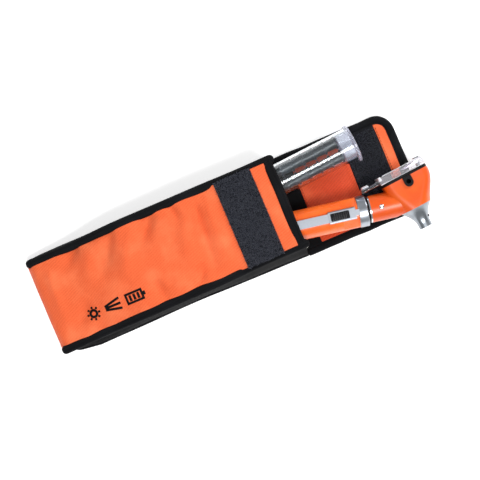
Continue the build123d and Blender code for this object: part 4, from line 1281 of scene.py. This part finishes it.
    def make(self) -> None:
        """Builds the flap."""
        self.panel()
        self.strip("mouth_webbing", "mouth_strip", SMOOTH_TAPE, "black_fabric", 0.5 * MM, 0.05 * MM)
        self.strip("lining_band", "flap_lining", LINING, "lining", 0.62 * MM, 0.12 * MM, self.lining_folds)
        self.strip("flap_end_cloth", "flap_end_strip", ORANGE_TWILL, "orange_fabric", 0.45 * MM, 0.08 * MM,
                   trims=None)
        hook = self.strip("hook_base", "hook_strip", HOOK_PILE, "hook_pile", 0.5 * MM, 0.08 * MM,
                          trims=("flap_end_cloth",))
        Piece("hook_nap", "flap", HOOK_FIBRE, "hook_pile").make(
            pile(hook[2:-2, 2:-2] - [0, 0, 0.05 * MM], 8500, 0.75 * MM, 0.17 * MM, 0.6, 23))
        seams = []
        for node in ("flap_lining", "hook_strip", "flap_end_strip"):
            x0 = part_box(node)[0][0] + 1.0 * MM
            low, high = self.edges(np.array([x0]))
            y = np.linspace(low[0] + 1 * MM, high[0] - 1 * MM, 60)
            seams.append(stitches(np.stack([x0 + 0 * y, y, self.face + 0.62 * MM + 0 * y], 1), UP,
                                  2.2 * MM, 0.28 * MM))
        Piece("flap_seams", "flap", SMOOTH_TAPE, "black_fabric").make(Patch.joined(seams))
        self.edge_tape()


# ---------------------------------------------------------------- tube of specula
@dataclass
class SpeculaTube:
    """Clear tube with a rounded end, its two rows of nested specula and its cap.

    Args:
        radius, wall, length: of the tube.
        end_round: radius of its closed end's edge.
        flange: how far the cap's flange stands beyond the tube, and its thickness.
        plug: length of the cap's plug.
        pitch: from one nested speculum to the next.
    """

    radius: float = 10.5 * MM
    wall: float = 0.9 * MM
    length: float = 90 * MM
    end_round: float = 8 * MM
    flange: tuple[float, float] = (1.7 * MM, 2.0 * MM)
    plug: float = 7.4 * MM
    pitch: float = 7.6 * MM

    def __post_init__(self) -> None:
        """Places the tube by its sliding joint and its packed cap."""
        way = np.array(joint("tube_slide")["axis"], float)
        cap_low, cap_high = (np.array(corner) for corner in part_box("tube_cap"))
        middle = (cap_low + cap_high) / 2
        reach = (self.plug + self.flange[1]) / 2
        origin = middle - way * (reach - self.plug)
        self.axes = Axes(origin, way, np.cross(UP, way), UP)

    def shell(self) -> None:
        """The tube: its outside, rounded end and inside in one closed profile."""
        r, w, end = self.radius, self.wall, self.end_round
        arc = np.linspace(0, math.pi / 2, 14)
        outside = [(-self.length + end - end * math.cos(a), r - end + end * math.sin(a)) for a in arc]
        inside = [(-self.length + end - (end - w) * math.cos(a), r - end + (end - w) * math.sin(a)) for a in arc]
        lip = softened([(-2 * MM, r), (0, r), (0, r - w), (-2 * MM, r - w)], 0.35 * MM, 4)
        rings = [(-self.length, 0.0)] + outside + [(-40 * MM, r)] + lip + [(-40 * MM, r - w)]
        rings += inside[::-1] + [(-self.length + w, 0.0)]
        Piece("clear_tube", "tube", CLEAR, "clear_plastic", ("specula_tube",)).make(
            lathe(rings, self.axes, 128))

    def cap(self) -> None:
        """Milky cap: hollow plug with two sealing beads and a gripped flange."""
        r, bore, thick = self.radius + self.flange[0], self.radius - 1.2 * MM, self.flange[1]
        profile = softened([
            (-self.plug, bore - 1.1 * MM), (-self.plug, bore - 0.3 * MM), (-self.plug + 0.8 * MM, bore),
            (-5.2 * MM, bore), (-4.8 * MM, bore + 0.15 * MM), (-4.4 * MM, bore), (-2.6 * MM, bore),
            (-2.2 * MM, bore + 0.15 * MM), (-1.8 * MM, bore), (0, bore), (0, r), (thick, r),
            (thick, r - 1.6 * MM), (thick - 0.5 * MM, r - 2.2 * MM), (thick - 0.5 * MM, bore - 1.1 * MM),
        ], 0.3 * MM, 3)
        profile += [(thick - 0.5 * MM, 0.0)]
        back = [(thick - 1.6 * MM, 0.0), (thick - 1.6 * MM, bore - 1.1 * MM)]
        patch = lathe([*back, *profile], self.axes, 144)
        Piece("milky_cap", "tube_cap", MILKY, "milky_plastic", ("tube_cap",)).make(patch)
        angle = np.linspace(0, 2 * math.pi, 72, endpoint=False)
        rib = swept(np.array([[0.2 * MM, 0, 0], [thick - 0.2 * MM, 0, 0]]),
                    rounded_bar(0.5 * MM, 0.3 * MM, 0.1 * MM, 1), UP, ends=0.05 * MM)
        spots = np.stack([0 * angle, r * np.cos(angle), r * np.sin(angle)], 1)
        turns = np.stack([
            np.broadcast_to(np.array([1.0, 0, 0]), (72, 3)),
            np.stack([0 * angle, -np.sin(angle), np.cos(angle)], 1),
            np.stack([0 * angle, np.cos(angle), np.sin(angle)], 1),
        ], axis=1)
        Piece("cap_ribs", "tube_cap", MILKY, "milky_plastic").make(rib.repeated(spots, turns).placed(self.axes))

    def stacks(self) -> None:
        """Two rows of nested specula, each speculum's rim standing over the next one's skirt.

        Formula: for each speculum the radius falls along a straight line from its skirt to
        where the next one's rim starts, and the last one tapers on to its open tip.
        """
        lengthwise = -self.plug - 0.5 * MM
        count, pitch, length, rim = 6, self.pitch, 38 * MM, 1.3 * MM
        for node in ("specula_large", "specula_small"):
            low, high = (np.array(corner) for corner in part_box(node))
            radius = float(high[2] - low[2]) / 2
            side = float(((low + high) / 2 - self.axes.origin) @ self.axes.y)
            fall = (radius - 0.5 * MM - 2.2 * MM) / length
            profile = [
                (lengthwise - 0.5 * MM, 0.0), (lengthwise - 0.5 * MM, radius - 1.6 * MM),
                (lengthwise, radius - 1.3 * MM),
            ]
            for k in range(count):
                start = lengthwise - k * pitch
                reach = pitch if k < count - 1 else length
                profile += softened([
                    (start, radius - 0.2 * MM), (start - 0.2 * MM, radius), (start - rim, radius),
                    (start - rim, radius - 0.75 * MM), (start - reach, radius - 0.75 * MM - fall * reach),
                ], 0.12 * MM, 2)
            tip = profile[-1]
            profile += [
                (tip[0], tip[1] - 0.6 * MM), (tip[0] + 1.5 * MM, tip[1] - 0.6 * MM), (tip[0] + 1.5 * MM, 0.0),
            ]
            thing = Piece(f"{node}_row", "tube", GREY_SPECULA, "specula_plastic", (node,)).make(
                lathe(profile[::-1], self.axes.shifted(y=side), 96))
            sharpened(thing)

    def make(self) -> None:
        """Builds the tube, its cap and its specula."""
        self.shell()
        self.cap()
        self.stacks()


# ---------------------------------------------------------------- otoscope
def prism(outline: np.ndarray, half: float, bevel: float, axes: Axes) -> Patch:
    """A closed prism of an outline in the local XY plane, rounded at both ends.

    Formula: rings of the outline move inwards along a quarter circle of radius bevel at
    each end, and the last ring of each end shrinks to its middle.

    Args:
        outline: n by 2, anticlockwise.
        half: half its length along local Z.
        bevel: radius of the rounded edges.
        axes: the local frame.

    Returns:
        The closed patch.
    """
    tangent = unit(np.roll(outline, -1, axis=0) - np.roll(outline, 1, axis=0))
    inwards = np.stack([-tangent[:, 1], tangent[:, 0]], axis=1)
    arc = np.linspace(0, math.pi / 2, 5)
    inset = bevel * (1 - np.sin(arc))
    height = half - bevel * (1 - np.cos(arc))
    insets = np.concatenate([inset, inset[::-1]])
    heights = np.concatenate([-height, height[::-1]])
    rings = outline[None] + inwards[None] * insets[:, None, None]
    rows = np.concatenate([rings, np.broadcast_to(heights[:, None, None], (*rings.shape[:2], 1))], axis=2)
    centre = np.array([*outline.mean(axis=0), 0.0])
    share = np.array([0.0, 0.4, 0.8])[:, None, None]
    caps = [centre + [0, 0, row[0, 2]] + (row - centre - [0, 0, row[0, 2]]) * share for row in (rows[0], rows[-1])]
    return Patch.grid(np.concatenate([caps[0], rows, caps[1][::-1]]), loop_v=True).placed(axes)


@dataclass
class Otoscope:
    """Head, magnifier, neck, handle, clip and switch.

    Args:
        seat: from the middle of the cone's straight tip to its base.
        depth: from the cone's base to the magnifier.
        plate, dome: thickness of the magnifier's plate, and of its lens.
        left, right: the plate's reach from the optical axis.
        lens_right: where the lens ends.
        half: half the head's height at the window.
        dome_radius: of the lens's outer face.
        tab: length, width and thickness of the thumb tab.
    """

    seat: float = 12.4 * MM
    depth: float = 22.0 * MM
    plate: float = 2.3 * MM
    dome: float = 2.8 * MM
    left: float = -14.0 * MM
    right: float = 17.3 * MM
    lens_right: float = 12.2 * MM
    half: float = 9.5 * MM
    dome_radius: float = 150 * MM
    tab: tuple[float, float, float] = (12.3 * MM, 9.0 * MM, 2.6 * MM)

    def __post_init__(self) -> None:
        """Places the head by the cone's seat, and the handle by its twist joint."""
        seat = mount("speculum_seat")
        view = -np.array(seat["axis"], float)
        across = np.cross(view, UP)
        self.head = Axes(np.array(seat["pos_m"]) + view * self.seat, across, view, UP)
        twist = joint("handle_twist")
        along = np.array(twist["axis"], float)
        self.handle = Axes(np.array(twist["pos_m"]), along, np.cross(UP, along), UP)

    def lens(self) -> None:
        """Clear magnifier: plate, domed lens and end block as one block with a notch between."""
        low, middle = self.depth, self.depth + self.plate
        top = middle + self.dome
        x0, x1 = self.left + 2.1 * MM, self.lens_right
        centre = (x0 + x1) / 2
        x = np.linspace(x1 - 0.6 * MM, x0 + 0.6 * MM, 40)
        arch = top - self.dome_radius + np.sqrt(self.dome_radius ** 2 - (x - centre) ** 2)
        outline = np.concatenate([
            np.array([
                (self.left, low), (self.right, low), (self.right, top),
                (x1 + 2.4 * MM, top), (x1 + 1.5 * MM, top - 0.9 * MM), (x1 + 1.0 * MM, middle + 1.0 * MM),
                (x1 + 0.5 * MM, middle + 0.2 * MM), (x1 + 0.1 * MM, middle + 1.2 * MM), (x1, arch[0] - 0.4 * MM),
            ]),
            np.stack([x, arch], 1),
            np.array([
                (x0, arch[-1] - 0.4 * MM), (x0 - 0.1 * MM, middle + 0.3 * MM), (self.left, middle + 0.2 * MM),
            ]),
        ])
        outline = evened(np.concatenate([outline, outline[:1]]), 0.35 * MM)[:-1]
        thing = Piece(
            "magnifier_block", "magnifier", LENS, "lens_glass", ("magnifier_lens", "magnifier_carrier"),
        ).make(prism(outline, self.half, 0.25 * MM, self.head))
        sharpened(thing)
        wall = np.array(softened([
            (self.left, middle + 0.25 * MM), (self.left + 1.9 * MM, middle + 0.35 * MM),
            (self.left + 1.9 * MM, top), (self.left, top),
        ], 0.4 * MM, 4, loop=True))
        ends = [prism(wall, self.half - 0.4 * MM, 0.5 * MM, self.head)]
        line = np.array(softened([
            (self.left, low - 0.05 * MM), (self.right, low - 0.05 * MM), (self.right, low + 0.35 * MM),
            (self.left, low + 0.35 * MM),
        ], 0.1 * MM, 2, loop=True))
        high = self.head.shifted(y=float(arch.mean()) - low - 0.2 * MM, z=self.half - 0.1 * MM)
        narrowing = (x1 - x0) / (self.right - self.left)
        short = line * [narrowing, 1] + [centre * (1 - narrowing), 0]
        ends.append(prism(line, 0.25 * MM, 0.1 * MM, self.head.shifted(z=self.half - 0.1 * MM)))
        ends.append(prism(short, 0.25 * MM, 0.1 * MM, high))
        for k in range(5):
            foot, crest = top - 0.3 * MM - k * 0.95 * MM, top + 0.15 * MM - k * 0.95 * MM
            rib = np.array(softened([
                (self.right - 0.7 * MM, foot), (self.right + 0.35 * MM, foot),
                (self.right + 0.35 * MM, crest), (self.right - 0.7 * MM, crest),
            ], 0.15 * MM, 2, loop=True))
            ends.append(prism(rib, self.half - 0.5 * MM, 0.15 * MM, self.head))
        Piece("magnifier_ends", "magnifier", FROST, "clear_plastic").make(Patch.joined(ends))

    def thumb_tab(self) -> None:
        """Smoky thumb tab over the collar, with a ribbed frosted nub at its end."""
        length, width, thick = self.tab
        start, low = self.left - length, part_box("locking_collar")[1][1]
        turn = math.acos(float(self.head.x @ self.handle.x))
        collar = (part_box("locking_collar")[1][2] - self.handle.origin[2]) + 0.3 * MM
        drop = float((self.head.origin - self.handle.origin) @ self.handle.y)
        low = max(self.depth + 0.2 * MM, (collar - drop - start * math.sin(turn)) / math.cos(turn))
        x = np.linspace(0, 1, 20)
        top = low + thick - 0.5 * MM * np.sin(math.pi * x) ** 2
        outline = np.concatenate([
            np.array([[start + 0.6 * MM, low], [self.left + 1.0 * MM, low]]),
            np.stack([self.left + 1.0 * MM + (start + 0.6 * MM - self.left - 1.0 * MM) * x, top], 1),
            np.array([[start, low + thick - 0.6 * MM], [start, low + 0.6 * MM]]),
        ])
        outline = evened(np.concatenate([outline, outline[:1]]), 0.4 * MM)[:-1]
        Piece("thumb_tab", "magnifier", SMOKE, "clear_plastic").make(
            prism(outline, width / 2, 0.7 * MM, self.head))
        nub = start + 1.0 * MM
        ribs = [prism(np.array(softened([
            (nub, low + thick - 0.6 * MM), (nub + 5 * MM, low + thick - 0.6 * MM),
            (nub + 4.6 * MM, low + thick + 0.7 * MM), (nub + 0.4 * MM, low + thick + 0.7 * MM),
        ], 0.5 * MM, 4, loop=True)), 3.3 * MM, 0.5 * MM, self.head)]
        for k in range(5):
            x0 = nub + (0.55 + 0.85 * k) * MM
            rib = np.array(softened([
                (x0, low + thick + 0.5 * MM), (x0 + 0.45 * MM, low + thick + 0.5 * MM),
                (x0 + 0.45 * MM, low + thick + 1.15 * MM), (x0, low + thick + 1.15 * MM),
            ], 0.15 * MM, 2, loop=True))
            ribs.append(prism(rib, 3.0 * MM, 0.2 * MM, self.head))
        Piece("thumb_nub", "magnifier", FROST, "clear_plastic").make(Patch.joined(ribs))

    def channel(self) -> None:
        """Black sheet inside the viewing channel: painted shade, standing in for the shadow deep in it.

        Formula: rings of rounded rectangles between the cone's base and the window, each
        with its own half width and half height, outside and then back along the inside.
        """
        stations = np.array([0.3, 4.0, 7.8, 13.0, 19.6]) * MM
        wide = np.interp(stations, np.array([0, 7.8, 13, 20]) * MM, np.array([8.1, 9.3, 10.2, 10.9]) * MM)
        tall = np.interp(stations, np.array([0, 7.8, 13, 20]) * MM, np.array([8.1, 7.7, 7.4, 7.3]) * MM)
        rows = []
        for skin in (0.0, 0.3 * MM):
            rings = []
            for y, w, h in zip(stations, wide - skin, tall - skin):
                ring = rounded_bar(2 * w, 2 * h, min(w, h) * 0.55, 8)
                rings.append(np.stack([ring[:, 0], np.full(len(ring), y), ring[:, 1]], 1))
            rows.append(np.stack(rings))
        points = np.concatenate([rows[0], rows[1][::-1]])
        # painted shade: a black sheet darkens the channel as its own shade would
        Piece("channel_shade_sheet", "head", BLACK_PLASTIC, "black_plastic").make(
            Patch.grid(points, loop_u=True, loop_v=True).flipped().placed(self.head))

    def small_parts(self) -> None:
        """Slanted ribs on the switch pad and the neck's domed screw."""
        low, high = (np.array(corner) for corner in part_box("switch_pad"))
        middle = (low + high) / 2 - self.handle.origin
        along, across = float(middle @ self.handle.x), float(middle @ self.handle.y)
        top = high[2] - self.handle.origin[2]
        rib = swept(np.array([[-0.9 * MM, -1.9 * MM, 0], [0.9 * MM, 1.9 * MM, 0]]),
                    rounded_bar(0.55 * MM, 0.5 * MM, 0.2 * MM, 2), UP, ends=0.1 * MM)
        spots = np.stack([np.linspace(-4.0, 4.0, 8) * MM + along, np.full(8, across), np.full(8, top)], 1)
        turns = np.broadcast_to(np.eye(3), (8, 3, 3))
        Piece("pad_ribs", "switch", RIB_RUBBER, "black_rubber").make(
            rib.repeated(spots, turns).placed(self.handle))
        low, high = (np.array(corner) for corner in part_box("neck_screw"))
        centre = (low + high) / 2
        radius = float(min(high[0] - low[0], high[1] - low[1])) / 2
        arc = np.linspace(0, math.pi / 2, 8)
        dome = [(0.45 * MM * math.cos(a), radius * 0.95 * math.sin(a)) for a in arc[::-1]]
        head = Axes(np.array([*centre[:2], high[2] - 0.02 * MM]), UP, self.head.x, self.head.y)
        profile = [
            (-0.3 * MM, 0.0), (-0.3 * MM, radius * 0.95), *dome[:5], (0.3 * MM, 0.62 * MM),
            (0.05 * MM, 0.5 * MM), (0.02 * MM, 0.0),
        ]
        Piece("screw_dome", "head", CHROME, "chrome").make(lathe(profile, head, 64))

    def make(self) -> None:
        """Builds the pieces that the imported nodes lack."""
        self.small_parts()
        self.lens()
        self.thumb_tab()
        self.channel()
        turned = (("handle_tube", ORANGE_GRIP), ("locking_collar", TURNED), ("speculum_cone", TURNED_CONE))
        for node, finish in turned:
            for slot in frame["nodes"][node].material_slots:
                slot.material = finish.material()


# ---------------------------------------------------------------- stage
@dataclass
class Studio:
    """Plain pale floor, soft lights and the camera.

    Args:
        middle: what the camera looks at, in metres.
        height: of the camera above the floor.
        roll: angle of the pouch in the picture, in degrees.
        lens: focal length on a 36 mm sensor.
    """

    middle: tuple[float, float] = (0.0066, -0.00755)
    height: float = 0.78
    roll: float = 23.0
    lens: float = 91.9

    def camera(self) -> None:
        """Looks straight down, with the pouch turned in the picture."""
        data = bpy.data.cameras.new("camera")
        data.lens = self.lens
        data.sensor_width = 36
        thing = bpy.data.objects.new("camera", data)
        thing.location = (*self.middle, self.height)
        thing.rotation_euler = (0, 0, -math.radians(self.roll))
        bpy.context.scene.collection.objects.link(thing)
        bpy.context.scene.camera = thing

    def lamp(self, name: str, spot: tuple[float, float, float], size: float, power: float,
             wide: float = 1.0) -> None:
        """Args:
            name: the lamp's name.
            spot: where it stands, in metres.
            size: length of its side.
            power: in watts.
            wide: how many times as wide as that it is.
        """
        data = bpy.data.lights.new(name, "AREA")
        data.shape = "RECTANGLE"
        data.size = size * wide
        data.size_y = size
        data.energy = power
        thing = bpy.data.objects.new(name, data)
        thing.location = spot
        away = np.array(spot) - np.array([*self.middle, 0.01])
        flat = math.hypot(away[0], away[1])
        thing.rotation_euler = (math.atan2(flat, away[2]), 0, math.atan2(away[1], away[0]) + math.pi / 2)
        bpy.context.scene.collection.objects.link(thing)

    def make(self) -> None:
        """Builds the stage."""
        self.camera()
        self.lamp("strip_lamp", (0.05, -0.41, 0.91), 0.3, 9.5, 2.6)
        self.lamp("key_lamp", (0.95, 0.5, 0.55), 0.36, 8.5)
        self.lamp("side_lamp", (-0.5, 0.8, 0.7), 0.5, 2.4)
        world = bpy.data.worlds.new("studio")
        world.use_nodes = True
        world.node_tree.nodes["Background"].inputs[0].default_value = (1, 1, 1, 1)
        world.node_tree.nodes["Background"].inputs[1].default_value = 0.36
        bpy.context.scene.world = world
        bpy.context.scene.view_settings.view_transform = "Standard"
        tree = Tree("floor")
        here = tree.place()
        tone = tree.noise(here, 0.2, 2.0)
        shade = tree.mixed(tone, paint("fbfbfb"), paint("ffffff"))
        material = tree.done(tree.surface(
            Base_Color=shade, Roughness=0.9, Specular_IOR_Level=0.1, Emission_Color=shade, Emission_Strength=0.28))
        mesh = bpy.data.meshes.new("floor")
        side = 3.0
        corners = [(-side, -side, 0), (side, -side, 0), (side, side, 0), (-side, side, 0)]
        mesh.from_pydata(corners, [], [(0, 1, 2, 3)])
        mesh.materials.append(material)
        floor = bpy.data.objects.new("floor", mesh)
        bpy.context.scene.collection.objects.link(floor)


def dress_nodes() -> None:
    """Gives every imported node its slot's finish."""
    for name, thing in frame["nodes"].items():
        for slot in thing.material_slots:
            finish = NODE_FINISHES.get(slot.material.name if slot.material else "")
            if finish:
                slot.material = finish.material()
        LOG.info("node %s: %s", name, [slot.material.name for slot in thing.material_slots])


def main() -> None:
    """Builds the stage and every sub-assembly in turn."""
    logging.basicConfig(level=logging.INFO, format="%(name)s %(message)s")
    Studio().make()
    dress_nodes()
    Pouch().make()
    Flap().make()
    SpeculaTube().make()
    Otoscope().make()


if __name__ == "__main__":
    main()
